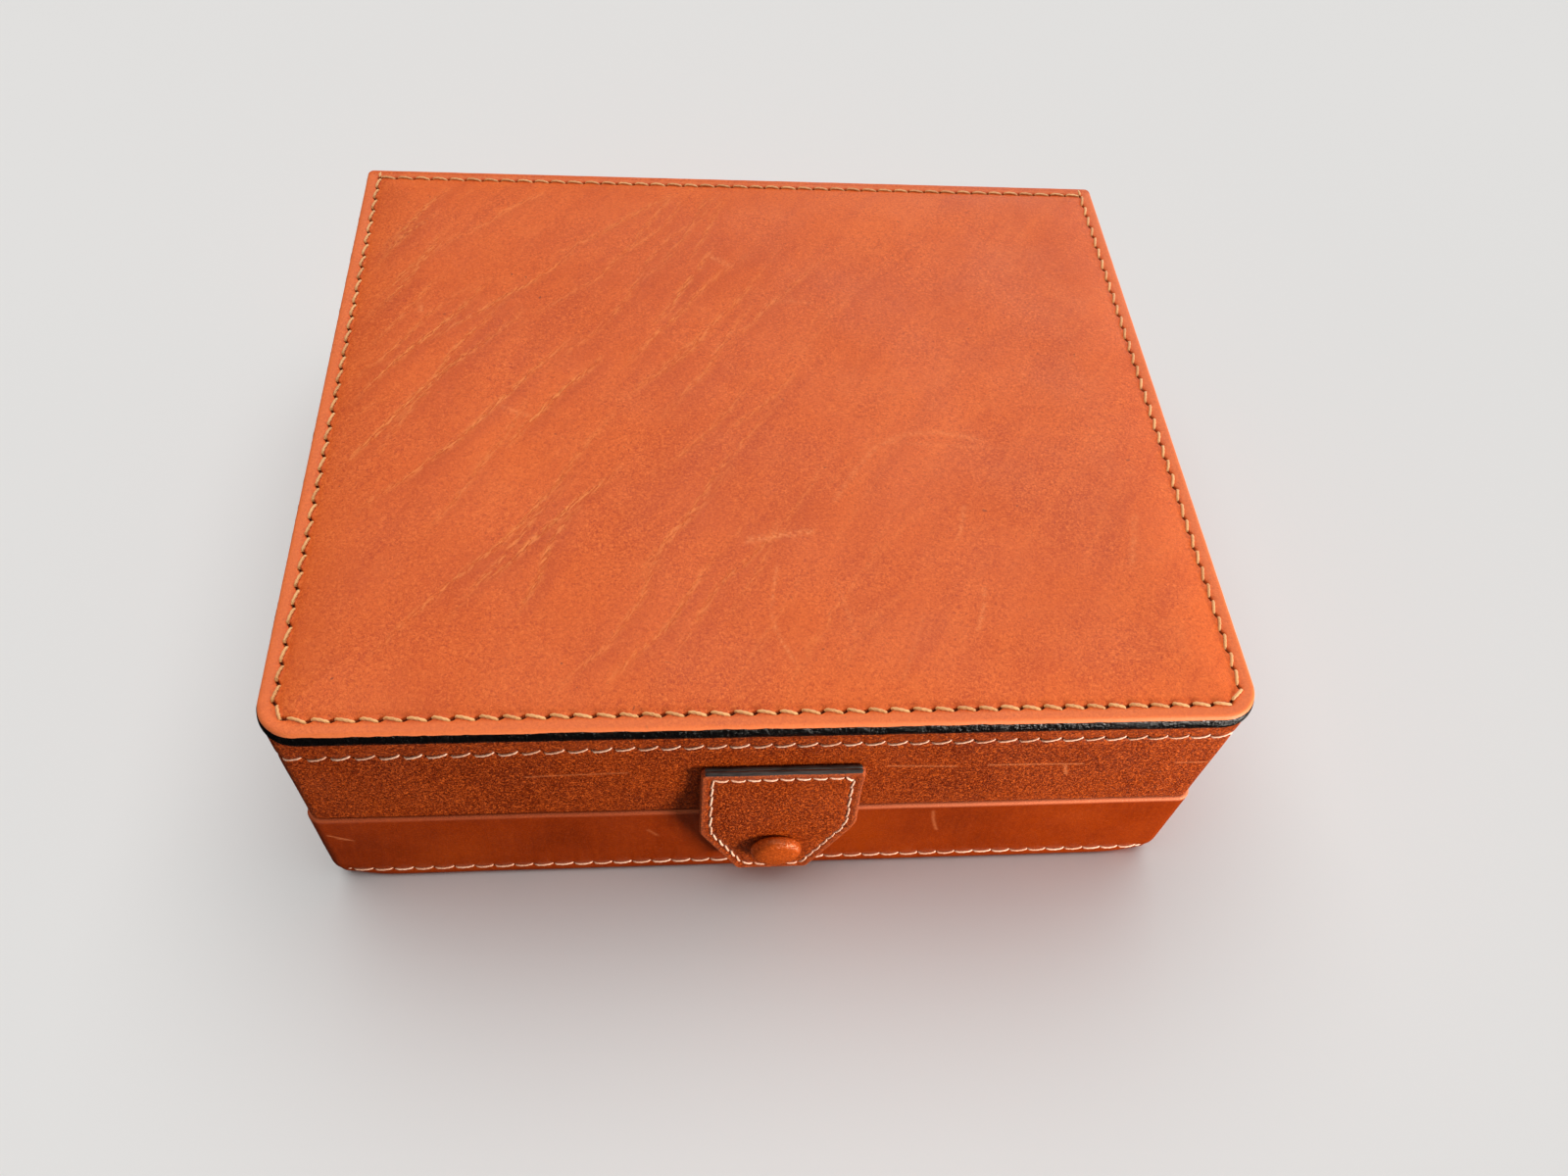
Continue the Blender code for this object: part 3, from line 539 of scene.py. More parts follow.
def round_front(half, front, back, radius, step):
    """The open outline from the back right, round the front, to the back left."""
    parts = [
        ((half, back), (half, front + radius)),
        ((half - radius, front + radius), radius, 0, -90),
        ((half - radius, front), (-half + radius, front)),
        ((-half + radius, front + radius), radius, -90, -180),
        ((-half, front + radius), (-half, back)),
    ]
    points, outward = trace(parts, step)
    return np.vstack((points, (-half, back))), np.vstack((outward, (-1, 0)))


def round_loop(low, high, radius, step):
    """The closed outline of a box's plan with round corners, from the back of its right side."""
    (left, front), (right, back) = (low[0], low[1]), (high[0], high[1])
    parts = [
        ((right, back - radius), (right, front + radius)),
        ((right - radius, front + radius), radius, 0, -90),
        ((right - radius, front), (left + radius, front)),
        ((left + radius, front + radius), radius, -90, -180),
        ((left, front + radius), (left, back - radius)),
        ((left + radius, back - radius), radius, 180, 90),
        ((left + radius, back), (right - radius, back)),
        ((right - radius, back - radius), radius, 90, 0),
    ]
    return trace(parts, step)


def wave(x, y, z, scale, seed=0.0):
    """Smooth noise from about -1 to 1, at this many waves per metre."""
    return noise.noise(Vector((x * scale + seed, y * scale + 2 * seed, z * scale - seed)))


def marked(points, marks):
    """How strongly each 2-D point is marked by the scratches and scuffs in a list."""
    points = np.asarray(points) / MM
    total = np.zeros(len(points))
    for line, width, strength in marks:
        line = np.array(line, float)
        for _ in range(3):  # cuts the corners off, so that the line bends smoothly
            cut = [(1 - s) * a + s * b for a, b in zip(line, line[1:]) for s in (0.25, 0.75)]
            line = np.vstack((line[:1], *cut, line[-1:]))
        for start, end in zip(line, line[1:]):
            way = end - start
            share = np.clip(((points - start) @ way) / (way @ way), 0, 1)
            gap = np.linalg.norm(points - start - share[:, None] * way, axis=1)
            total = np.maximum(total, strength * np.exp(-((gap / width) ** 2)))
    return total


def rounded_box(name, low, high, radius, step, surface, swell=0.0, crown=0.0):
    """A box with rounded edges, a little uneven by swell, its top raised by crown in the middle."""
    edge = [radius * fall for _, fall in quarter(range(4), 4)]
    grid = [stops(a, b, edge, radius, step) for a, b in zip(low, high)]
    index, points = {}, []

    def corner(*key):
        if key not in index:
            point = Vector(grid[axis][key[axis]] for axis in range(3))
            core = Vector(min(max(p, a + radius), b - radius) for p, a, b in zip(point, low, high))
            normal = (point - core).normalized()
            point = core + normal * (radius + swell * wave(*point, 90, 4.0))
            if crown and normal.z > 0.5:
                across = [(p - a) / (b - a) for p, a, b in zip(point, low, high)][:2]
                point.z += crown * math.prod(math.sin(math.pi * min(max(s, 0), 1)) ** 0.5 for s in across)
            index[key] = len(points)
            points.append(point)
        return index[key]

    faces = []
    for axis in range(3):
        u, v = (axis + 1) % 3, (axis + 2) % 3
        for side in (0, len(grid[axis]) - 1):
            for i in range(len(grid[u]) - 1):
                for j in range(len(grid[v]) - 1):
                    face = []
                    for du, dv in ((0, 0), (1, 0), (1, 1), (0, 1)):
                        key = [0, 0, 0]
                        key[axis], key[u], key[v] = side, i + du, j + dv
                        face.append(corner(*key))
                    faces.append(tuple(face))
    return mesh_object(name, points, faces, surface, 60)


def rows_round(low, high, corner, profile, step):
    """Rows of points round a box's plan, a row for each (inset, height) of a profile.

    The front corners are rounded by corner, and the back ones only a little.
    """
    outline, _ = round_loop(low, high, max(corner, 0.6 * MM), step)
    rows = []
    for inset, height in profile:
        row = []
        for point in outline:
            radius = max((corner if point[1] < 0 else 0.6 * MM) - inset, 0.3 * MM)
            core = np.clip(point, (low.x + inset + radius, low.y + inset + radius),
                           (high.x - inset - radius, high.y - inset - radius))
            way = point - core
            x, y = core + way / np.linalg.norm(way) * radius
            row.append((x, y, height + 0.05 * MM * wave(x, y, height, 90, 6.0)))
        rows.append(row)
    return rows


# --- Stitches ---------------------------------------------------------------------------------
class Seam:
    """A row of saddle stitches: slanted threads between slanted awl holes.

    line has points along the row and normal its surface's outward directions. across is the direction
    in the surface, square to the row, towards which each stitch ends. Both can be one for all.
    """

    def __init__(self, line, normal, across, pitch, length, slant, radius):
        self.line = np.array(line, float)
        self.normal, self.across = (np.broadcast_to(way, self.line.shape) for way in (normal, across))
        steps = np.linalg.norm(np.diff(self.line, axis=0), axis=1)
        self.along = np.concatenate(([0.0], np.cumsum(steps)))
        self.count = round(self.along[-1] / pitch)
        self.pitch = self.along[-1] / self.count
        self.length, self.slant, self.radius = length, slant, radius
        self.points, self.faces, self.shade = [], [], []
        self.draw = random.Random(len(self.line))
        # Spacing and slant vary from hole to hole, as in hand work.
        self.shift = [self.draw.uniform(-0.13, 0.13) * MM for _ in range(self.count + 1)]
        self.tilt = [self.draw.uniform(0.8, 1.2) for _ in range(self.count + 1)]

    def at(self, distance, offset=0.0):
        def blend(values):
            return np.array([np.interp(distance, self.along, values[:, i]) for i in range(3)])

        normal, across = blend(self.normal), blend(self.across)
        across /= np.linalg.norm(across)
        return blend(self.line) + across * offset, normal / np.linalg.norm(normal)

    def hole(self, index):
        """(centre, direction, half length, surface normal) of one awl hole."""
        distance = index * self.pitch + self.shift[index]
        half = (self.pitch - self.length) / 2
        offset = self.slant / 2 * self.tilt[index]
        first, normal = self.at(distance - half, -offset)
        last, _ = self.at(distance + half, offset)
        size = np.linalg.norm(last - first)
        return (first + last) / 2, (last - first) / size, size / 2, normal

    def holes(self):
        return [self.hole(i) for i in range(self.count + 1)]

    def stitch(self, start, end, normal, lift, sides=10, rings=13):
        """One raised thread whose ends go down into their holes, with the twist of its plies."""
        base = len(self.points)
        size = np.linalg.norm(end - start)
        way = (end - start) / size
        side = np.cross(normal, way)
        phase = self.draw.uniform(0, math.tau)
        bow = self.draw.uniform(-0.07, 0.1) * MM
        tone = self.draw.random()
        for ring in range(rings):
            t = ring / (rings - 1)
            rise = math.sin(math.pi * t) ** 0.35
            centre = start + way * size * t + normal * (lift * rise - 0.45 * MM * (1 - rise))
            centre = centre + side * bow * math.sin(math.pi * t)
            up = normal - way * math.cos(math.pi * t) * 0.8
            up = up / np.linalg.norm(up)
            twist = phase + t * size / (1.1 * MM) * math.pi
            for k in range(sides):
                angle = math.tau * k / sides
                reach = self.radius * (1 + 0.14 * math.cos(2 * (angle - twist)))
                self.points.append(centre + (side * math.cos(angle) + up * math.sin(angle)) * reach)
                self.shade.append(0.1 + 0.55 * tone)
        last = base + (rings - 1) * sides
        ends = [tuple(range(first, first + sides)) for first in (base, last)]
        for ring in range(rings - 1):
            a = base + ring * sides
            for k in range(sides):
                n = (k + 1) % sides
                self.faces.append((a + k, a + n, a + sides + n, a + sides + k))
        self.faces += ends

    def sew(self, name, surface, lift, extra=()):
        """The row's threads as one object. extra has more stitches, as (start, end, normal)."""
        for i in range(self.count):
            half = (self.pitch - self.length) / 2
            first = i * self.pitch + self.shift[i] + half * 0.75
            last = (i + 1) * self.pitch + self.shift[i + 1] - half * 0.75
            start, normal = self.at(first, self.slant / 2 * self.tilt[i])
            end, _ = self.at(last, -self.slant / 2 * self.tilt[i + 1])
            self.stitch(start, end, normal, lift + self.draw.uniform(-0.04, 0.05) * MM)
        for start, end, normal in extra:
            self.stitch(np.array(start), np.array(end), np.array(normal), lift)
        return mesh_object(name, self.points, self.faces, surface, 60, shade=self.shade)


def press_holes(points, picked, seams, inward, width=0.3 * MM, depth=0.75 * MM):
    """Pushes the surface in at each awl hole of the seams. Returns how far in a hole each point is.

    picked are the points that may be near a hole. inward is the direction into the leather, of each
    point or of them all.
    """
    holes = [hole for seam in seams for hole in seam.holes()]
    tree = KDTree(len(holes))
    for i, (centre, *_) in enumerate(holes):
        tree.insert(Vector(centre), i)
    tree.balance()
    inside, inward = np.zeros(len(points)), np.broadcast_to(inward, (len(points), 3))
    for i in picked:
        _, found, gap = tree.find(Vector(points[i]))
        if gap > 2.6 * MM:
            continue
        centre, way, half, normal = holes[found]
        offset = points[i] - centre
        if abs(offset @ normal) > 1.2 * MM:
            continue
        along, across = offset @ way, offset @ np.cross(normal, way)
        inside[i] = smooth((1.25 - math.hypot(along / (half + 0.12 * MM), across / width)) / 0.6)
        dimple = 0.16 * MM * bell(along, 1.3 * MM) * bell(across, 0.8 * MM)
        points[i] += inward[i] * (depth * inside[i] + dimple)
    return inside


# --- Top panel --------------------------------------------------------------------------------
def panel_distance(x, y):
    """How far a point is inside the panel's outline."""
    radius = PANEL_CORNER if y < 0 else PANEL_BACK_CORNER
    dx = abs(x) - (TOP_HIGH.x - radius)
    dy = abs(y) - (TOP_HIGH.y - radius)
    return radius - math.hypot(max(dx, 0), max(dy, 0)) - min(max(dx, dy), 0)


def panel_height(x, y):
    """The top's height: a rounded rim, a valley along the stitches, and the padded middle."""
    inset = panel_distance(x, y)
    height = BORDER_TOP - rounding(inset, 0.9 * MM)
    height -= 0.22 * MM * bell(inset - STITCH_INSET, 1.0 * MM)
    rise = min(max((inset - 4.2 * MM) / (19 * MM), 0), 1)
    height += (TOP_HIGH.z - BORDER_TOP - 0.25 * MM) * (1 - (1 - rise) ** 3)
    soft = min(max((inset - 5 * MM) / (12 * MM), 0), 1)
    height += soft * 0.16 * MM * wave(x, y, 0, 32, 3.0)
    height += soft * 0.08 * MM * wave(x + y, (y - x) * 0.3, 0, 95, 5.0)
    return height + 0.05 * MM * wave(x, y, 0, 210, 8.0)


def panel_seams():
    """The row round the front and sides, and the row along the back."""
    half = TOP_HIGH.x - STITCH_INSET
    front, back = TOP_LOW.y + STITCH_INSET, TOP_HIGH.y - STITCH_INSET
    height = BORDER_TOP - 0.15 * MM
    line, out = round_front(half, front, back, PANEL_CORNER - STITCH_INSET, 0.3 * MM)
    span = np.linspace(-half, half, 400)
    rows = (
        (line, with_height(out), 2.95 * MM, 0.85 * MM),
        (np.column_stack((span, np.full(400, back))), (0, 1, 0), 3.1 * MM, 0.6 * MM),
    )
    return [
        Seam(with_height(line, height), (0, 0, 1), out, STITCH_PITCH, length, slant, 0.34 * MM)
        for line, out, length, slant in rows
    ]


def wrinkle_paths():
    """Growth wrinkles as points with strengths: wandering lines that all run diagonally."""
    draw = random.Random(23)
    turn = math.radians(WRINKLE_TURN)
    steps, across = [], -115.0
    while across < 85:
        across += draw.uniform(4.8, 8.0)
        for _ in range(draw.choice((2, 2, 3))):
            angle = turn + math.radians(draw.uniform(-4, 4))
            start = draw.uniform(-110, 40)
            size = draw.uniform(30, 90)
            offset = across + draw.uniform(-1.5, 1.5)
            # "across" is measured square to the wrinkles, "start" along them.
            x = start * math.cos(turn) + offset * math.sin(turn)
            y = start * math.sin(turn) - offset * math.cos(turn)
            strength = draw.uniform(0.45, 1.0)
            for step in range(round(size / 0.5)):
                share = step * 0.5 / size
                angle += draw.uniform(-0.07, 0.07) + 0.03 * (turn - angle)
                x += 0.5 * math.cos(angle)
                y += 0.5 * math.sin(angle)
                side = min(max(0.85 - (x + 25) / 75, 0.1), 1.0)
                fade = math.sin(math.pi * min(max(share, 0), 1)) ** 0.6
                steps.append((x * MM, y * MM, strength * side * fade))
    tree = KDTree(len(steps))
    for i, (x, y, _) in enumerate(steps):
        tree.insert((x, y, 0), i)
    tree.balance()
    return tree, [p[2] for p in steps]


def add_wrinkles(points, inset_of):
    """(crease, shade) of each point of the top, which is pressed down a little in its creases."""
    tree, strengths = wrinkle_paths()
    crease, shade = np.zeros(len(points)), np.zeros(len(points))
    for i, (x, y, _) in enumerate(points):
        fade = smooth((inset_of[i] - 5 * MM) / (8 * MM))
        if fade == 0:
            continue
        _, found, gap = tree.find((x, y, 0))
        crease[i] = fade * strengths[found] * bell(gap, 0.75 * MM)
        _, found, gap = tree.find((x - 1.6 * MM, y + 1.1 * MM, 0))
        shade[i] = fade * strengths[found] * bell(gap, 1.8 * MM)
        points[i][2] += 0.07 * MM * (0.6 * shade[i] - crease[i])
    return crease, shade


class PanelMesh:
    """The top's mesh: a finely divided border, a grid inside it, and a rim and underside."""

    ZONE = 12 * MM  # the border's width, and the size of each corner zone
    FINE = 16  # border sections per stitch
    COARSE = 2  # how many of them make one grid step
    INSETS = (0, 0.1, 0.25, 0.45, 0.7, 1.0, 1.4, 1.8, 2.1, 2.35, 2.55, 2.75, 2.95, 3.12, 3.3, 3.48, 3.65,
              3.85, 4.05, 4.25, 4.5, 4.8, 5.3, 5.9, 6.6, 7.4, 8.3, 9.2, 10.1, 11.0)

    def __init__(self):
        self.outer, self.target = [], []
        half, front, back = TOP_HIGH.x, TOP_LOW.y, TOP_HIGH.y
        self.inner = (half - self.ZONE, front + self.ZONE, back - self.ZONE)
        side, low, high = self.inner
        self.wide = round(2 * side / STITCH_PITCH) * self.FINE
        self.deep = round((high - low) / STITCH_PITCH) * self.FINE
        marks = [
            self.edge((half, high), (half, low), self.deep, (-1, 0)),
            self.corner(1, -1, PANEL_CORNER, 0),
            self.edge((side, front), (-side, front), self.wide, (0, 1)),
            self.corner(-1, -1, PANEL_CORNER, -90),
            self.edge((-half, low), (-half, high), self.deep, (1, 0)),
            self.corner(-1, 1, PANEL_BACK_CORNER, 180),
            self.edge((-side, back), (side, back), self.wide, (0, -1)),
            self.corner(1, 1, PANEL_BACK_CORNER, 90),
        ]
        self.marks = marks + [len(self.outer)]
        self.outer, self.target = np.array(self.outer), np.array(self.target)
        self.count = len(self.outer)
        self.points, self.faces = [], []
        self.border()
        self.middle()

    def edge(self, start, end, count, inward):
        first = len(self.outer)
        for i in range(count):
            point = np.array(start) + (np.array(end) - np.array(start)) * i / count
            self.outer.append(point)
            self.target.append(point + np.array(inward) * self.ZONE)
        return first

    def corner(self, x_sign, y_sign, radius, angle):
        """A corner zone, whose arc starts at this angle. All its points lead to one inner corner."""
        first = len(self.outer)
        tip = np.array((x_sign * TOP_HIGH.x, TOP_LOW.y if y_sign < 0 else TOP_HIGH.y))
        inward = -np.array((x_sign, y_sign))
        centre = tip + inward * radius
        turn = math.radians(angle)
        into = np.array((math.sin(turn), -math.cos(turn)))
        leave = -np.array((math.cos(turn), math.sin(turn)))
        start, end = centre - leave * radius, centre + into * radius
        straight = self.ZONE - radius
        before, after = (start - into * straight, start), (end, end + leave * straight)
        points, _ = trace([before, (centre, radius, angle, angle - 90), after], 0.38 * MM)
        self.outer += list(points)
        self.target += [tip + inward * self.ZONE] * len(points)
        return first

    def ring(self, inset, height=None):
        share = inset / self.ZONE
        for x, y in self.outer + (self.target - self.outer) * share:
            self.points.append([x, y, panel_height(x, y) if height is None else height])

    def border(self):
        foot = TOP_LOW.z
        for inset, height in ((0.4, foot), (0.12, foot + 0.15 * MM), (0.0, foot + 0.5 * MM)):
            self.ring(inset * MM, height)
        for inset in self.INSETS:
            self.ring(inset * MM)
        rows = len(self.INSETS) + 3
        self.faces = loft_faces(rows, self.count)[:-1]  # the underside is filled, the top isn't
        self.last = (rows - 1) * self.count

    def middle(self):
        """The grid. Its edge points are joined to the border's, which are closer together."""
        side, low, high = self.inner
        across, down = self.wide // self.COARSE, self.deep // self.COARSE
        first = len(self.points)
        for row in range(down + 1):
            for column in range(across + 1):
                x, y = -side + 2 * side * column / across, low + (high - low) * row / down
                self.points.append([x, y, panel_height(x, y)])

        def cell(column, row):
            return first + row * (across + 1) + column

        for row in range(down):
            for column in range(across):
                corners = ((column, row), (column + 1, row), (column + 1, row + 1), (column, row + 1))
                self.faces.append(tuple(cell(*c) for c in corners))
        runs = (
            (self.marks[0], [cell(across, down - i) for i in range(down + 1)]),
            (self.marks[2], [cell(across - i, 0) for i in range(across + 1)]),
            (self.marks[4], [cell(0, i) for i in range(down + 1)]),
            (self.marks[6], [cell(i, down) for i in range(across + 1)]),
        )
        for start, edge in runs:
            for i in range(len(edge) - 1):
                ahead = range(start + i * self.COARSE, start + (i + 1) * self.COARSE + 1)
                fine = [self.last + k % self.count for k in ahead]
                self.faces.append((*fine, edge[i + 1], edge[i]))
        tips = (cell(across, 0), cell(0, 0), cell(0, down), cell(across, down))
        for start, stop, tip in zip(self.marks[1::2], self.marks[2::2], tips):
            for i in range(start, stop):
                self.faces.append((self.last + i, self.last + (i + 1) % self.count, tip))


def make_top(surface, thread):
    mesh = PanelMesh()
    points = np.array(mesh.points)
    inset_of = np.array([panel_distance(x, y) for x, y, _ in points])
    crease, shade = add_wrinkles(points, inset_of)
    mark = marked(points[:, :2], TOP_MARKS)
    seams = panel_seams()
    near_row = abs(inset_of - STITCH_INSET) < HOLE_REACH
    picked = np.nonzero(near_row & (points[:, 2] > BORDER_TOP - 1 * MM))[0]
    inside = press_holes(points, picked, seams, (0, 0, -1))
    # A paler, burnished border outside the stitches and along the very edge.
    rim = 0.45 * np.clip((STITCH_INSET - inset_of) / (1.2 * MM), 0, 1)
    rim += np.clip(0.4 - inset_of / (2 * MM), 0, 1)
    rim[points[:, 1] > TOP_HIGH.y - 2 * MM] = 0
    top = mesh_object(
        "top_leather_skin", points, mesh.faces, surface,
        hole=inside, rim=rim, wrinkle=crease, shade=shade, mark=mark,
    )
    place(top, "lid", "saddle_leather", "top_leather")
    # Each side row goes on over the back edge.
    over = []
    for x in (-TOP_HIGH.x + STITCH_INSET, TOP_HIGH.x - STITCH_INSET):
        start = (x, TOP_HIGH.y - STITCH_INSET + 0.5 * MM, BORDER_TOP)
        over.append((start, (x, TOP_HIGH.y + 0.05 * MM, BORDER_TOP - 0.75 * MM), (0, 0.25, 0.97)))
    for seam, name, extra in zip(seams, ("round", "back"), (over, ())):
        row = seam.sew(f"top_stitches_{name}", thread, 0.12 * MM, extra)
        place(row, "lid", "thread", "top_thread")


def make_underlay(paint):
    """The stiff layer under the top, whose edge paint also covers the top leather's cut edge."""
    back = SPINE_LOW.y - 0.1 * MM
    line, out = round_front(TOP_HIGH.x, TOP_LOW.y, back, PANEL_CORNER, 0.55 * MM)
    low, high = UNDERLAY_LOW.z, BORDER_TOP
    rows = [(-0.25, low), (0.05, low + 0.2 * MM), (0.25, low + 0.6 * MM), (0.38, low + 1.1 * MM)]
    rows += [(0.43, low + 1.6 * MM), (0.42, -1.6), (0.36, -1.2), (0.27, -0.8), (0.17, -0.45), (0.05, -0.15)]
    rows += [(-0.2, 0.08), (-1.3, low + 1.7 * MM)]
    points = []
    for offset, height in rows:
        for (x, y), (nx, ny) in zip(line, out):
            z = height
            if not low <= height <= high:  # measured down from the paint's uneven upper limit
                limit = 0.8 + 0.22 * wave(x, y, 0, 160, 4.0) + 0.14 * wave(x, y, 0, 620, 6.0)
                z = high - limit * MM + height * MM
            swell = offset * MM + 0.07 * MM * wave(x, y, z, 420, 2.0) + 0.04 * MM * wave(x, y, z, 1100, 3.0)
            points.append((x + nx * swell, y + ny * swell, z))
    made = mesh_object("panel_underlay", points, loft_faces(len(rows), len(line)), paint, 60)
    place(made, "lid", "smooth_leather", "top_underlay")


# --- Spine ------------------------------------------------------------------------------------
def make_spine(surface, paint, thread):
    """The leather down the back, from the top's rounded edge to the foot, with a slight crease at the hinge."""
    half, back, foot = TOP_HIGH.x, TOP_HIGH.y, SPINE_LOW.z
    head = TOP_LOW.z + 0.52 * MM
    seams = []
    for x in (-half + STITCH_INSET, half - STITCH_INSET):
        for bottom, top in ((foot + 4 * MM, HINGE.z - 6.5 * MM), (HINGE.z + 6.5 * MM, head - 1.6 * MM)):
            heights = np.linspace(bottom, top, 60)
            line = np.column_stack((np.full(60, x), np.full(60, back), heights))
            across = (math.copysign(1, x), 0, 0)
            seams.append(Seam(line, (0, 1, 0), across, STITCH_PITCH, 3 * MM, 0.8 * MM, 0.32 * MM))
    edge = (0, 0.06, 0.15, 0.3, 0.5, 0.8, 1.2, 1.6, 2.0, 2.3)
    edge += (2.6, 2.85, 3.1, 3.3, 3.5, 3.75, 4.0, 4.3, 4.6, 5.0)
    across = stops(-half, half, [d * MM for d in edge], 6 * MM, 1.1 * MM)
    heights = [foot, foot + 0.1 * MM, foot + 0.3 * MM] + spaced(foot + 0.6 * MM, head, 0.4 * MM)
    inner = spaced(half - 0.3 * MM, -half + 0.3 * MM, 8 * MM)
    points, count = [], len(across) + len(inner)
    for z in heights:
        for x in across:
            inset = min(half - abs(x), z - foot)
            y = back - rounding(inset, 0.55 * MM)
            y -= 0.3 * MM * bell(z - HINGE.z, 1.3 * MM)
            fade = smooth((head - z) / (3 * MM)) * smooth((half - abs(x)) / (4 * MM))
            uneven = 0.12 * wave(x, 0, z, 40, 9.0) + 0.05 * wave(x, 0, z, 170, 2.0)
            y += fade * (uneven - 0.1) * MM
            y -= 0.15 * MM * bell(half - abs(x) - STITCH_INSET, 0.9 * MM)
            points.append([x, y, z])
        points += [[x, SPINE_LOW.y, z] for x in inner]
    points = np.array(points)
    inset_of = half - abs(points[:, 0])
    picked = np.nonzero((abs(inset_of - STITCH_INSET) < HOLE_REACH) & (points[:, 1] > back - 0.8 * MM))[0]
    inside = press_holes(points, picked, seams, (0, -1, 0))
    made = mesh_object(
        "spine_skin", points, loft_faces(len(heights), count), (surface, paint),
        second=lambda centre: abs(centre.x) > half - 0.3 * MM, hole=inside,
    )
    bend(made, "base", "lid", HINGE, SPINE_BEND, "saddle_leather", "spine_base", "spine_lid")
    names = ("base_left", "lid_left", "base_right", "lid_right")
    for seam, name in zip(seams, names):
        body = name.split("_")[0]
        row = seam.sew(f"spine_stitches_{name}", thread, 0.05 * MM)
        place(row, body, "thread", f"{body}_band_thread")


# --- Bands round the lid and the base ---------------------------------------------------------
class Band:
    """The leather round the front and sides of one half, with rounded rims and a stitched row."""

    def __init__(self, name, box, row, dip, pitch, length, slant, rims, rim, marks, tuck):
        self.name, self.row, self.dip, self.rim, self.marks, self.tuck = name, row, dip, rim, marks, tuck
        self.low, self.high = box
        self.foot_round, self.top_round = rims
        outline = (self.high.x, self.low.y, self.high.y, BODY_CORNER)
        self.line, self.out = round_front(*outline, 0.36 * MM)
        line, out = round_front(*outline[:2], self.high.y - 1.5 * MM, BODY_CORNER, 0.4 * MM)
        heights = [self.row_height(x, y) for x, y in line]
        sunk = np.array([[0.1 * MM + self.drawn_in(x, y, z)] for (x, y), z in zip(line, heights)])
        out = with_height(out)
        line = with_height(line, heights) - out * sunk
        self.seam = Seam(line, out, (0, 0, 1), pitch, length, slant, 0.25 * MM)

    def row_height(self, x, y):
        """The row's height, which in hand work dips towards the front left corner."""
        return self.row - self.dip * smooth((-x - 15 * MM) / (62 * MM)) * smooth((-y - 40 * MM) / (40 * MM))

    def drawn_in(self, x, y, z):
        """How far the foot is drawn in at the front corners, where the leather goes round a ball."""
        beside = math.hypot(abs(x) + self.low.x + 1 * MM, y - self.low.y - 1 * MM)
        return self.tuck * bell(beside, 6.5 * MM) * max(0.0, 1 - (z - self.low.z) / (8 * MM)) ** 2

    def profile(self):
        """(outward offset, height) up the outer face, then down the inner one."""
        low, high, foot, top = self.low.z, self.high.z, self.foot_round, self.top_round
        turned = min(foot, 1.4 * MM)
        outer = [(turned * (sine - 1), low + foot * fall) for sine, fall in quarter(range(6), 6)]
        outer += [(0.0, z) for z in spaced(low + foot, high - top, 0.33 * MM)]
        outer += [(-top * fall, high - top * (1 - sine)) for sine, fall in quarter(range(1, 7), 6)]
        return outer, [(-1.5 * MM, high), (-1.5 * MM, low)]

    def build(self, surface):
        outer, inner = self.profile()
        points, inward, rim = [], [], []
        for (x, y), (nx, ny) in zip(self.line, self.out):
            row = self.row_height(x, y)
            for k, (offset, z) in enumerate(outer + inner):
                offset -= self.drawn_in(x, y, z)
                face = k < len(outer)
                if face:
                    uneven = wave(x, y, z, 38, 11.0) + 0.35 * wave(x, y, z, 150, 14.0)
                    offset += 0.1 * MM * (uneven - 0.5)
                    offset -= 0.16 * MM * bell(z - row, 1.1 * MM)
                points.append((x + nx * offset, y + ny * offset, z))
                inward.append((-nx, -ny, 0.0))
                # Painted highlight along the base band's rounded top rim, stronger towards the right, where the
                # lamp stands.
                mix_weight = self.rim * (0.3 + 0.7 * smooth(0.35 + x / (130 * MM)))
                rim.append(mix_weight * max(0.0, 1 - (self.high.z - z) / (1.1 * MM)) if face else 0.0)
        points = np.array(points)
        near = [i for i, (x, y, z) in enumerate(points) if abs(z - self.row_height(x, y)) < 1.5 * MM]
        inside = press_holes(points, near, [self.seam], inward, width=0.2 * MM, depth=0.6 * MM)
        mark = marked(points[:, [0, 2]], self.marks) * (points[:, 1] < self.low.y + 2 * MM)
        faces = loft_faces(len(self.line), len(outer) + 2)
        return mesh_object(self.name, points, faces, surface, hole=inside, rim=rim, mark=mark)


def make_sides(grained, smooth_surface, thread):
    lid = Band(
        "lid_band_skin", LID_BOX, LID_ROW, 1.6 * MM, 4.65 * MM, 3.4 * MM, 1.1 * MM,
        (0.7 * MM, 0.4 * MM), 0.0, LID_MARKS, 0.0,
    )
    # The base's band has a painted highlight of strength 1.0 along its top rim; the lid's has none.
    base = Band(
        "base_band_skin", BASE_BOX, BASE_ROW, 0.0, 4.6 * MM, 3.9 * MM, 0.45 * MM,
        (3.0 * MM, 0.6 * MM), 1.0, BASE_MARKS, 2.2 * MM,
    )
    place(lid.build(grained), "lid", "grained_leather", "lid_band")
    place(base.build(smooth_surface), "base", "smooth_leather", "base_band")
    place(lid.seam.sew("lid_band_stitches", thread, 0.06 * MM), "lid", "thread", "lid_band_thread")
    place(base.seam.sew("base_band_stitches", thread, 0.06 * MM), "base", "thread", "base_band_thread")


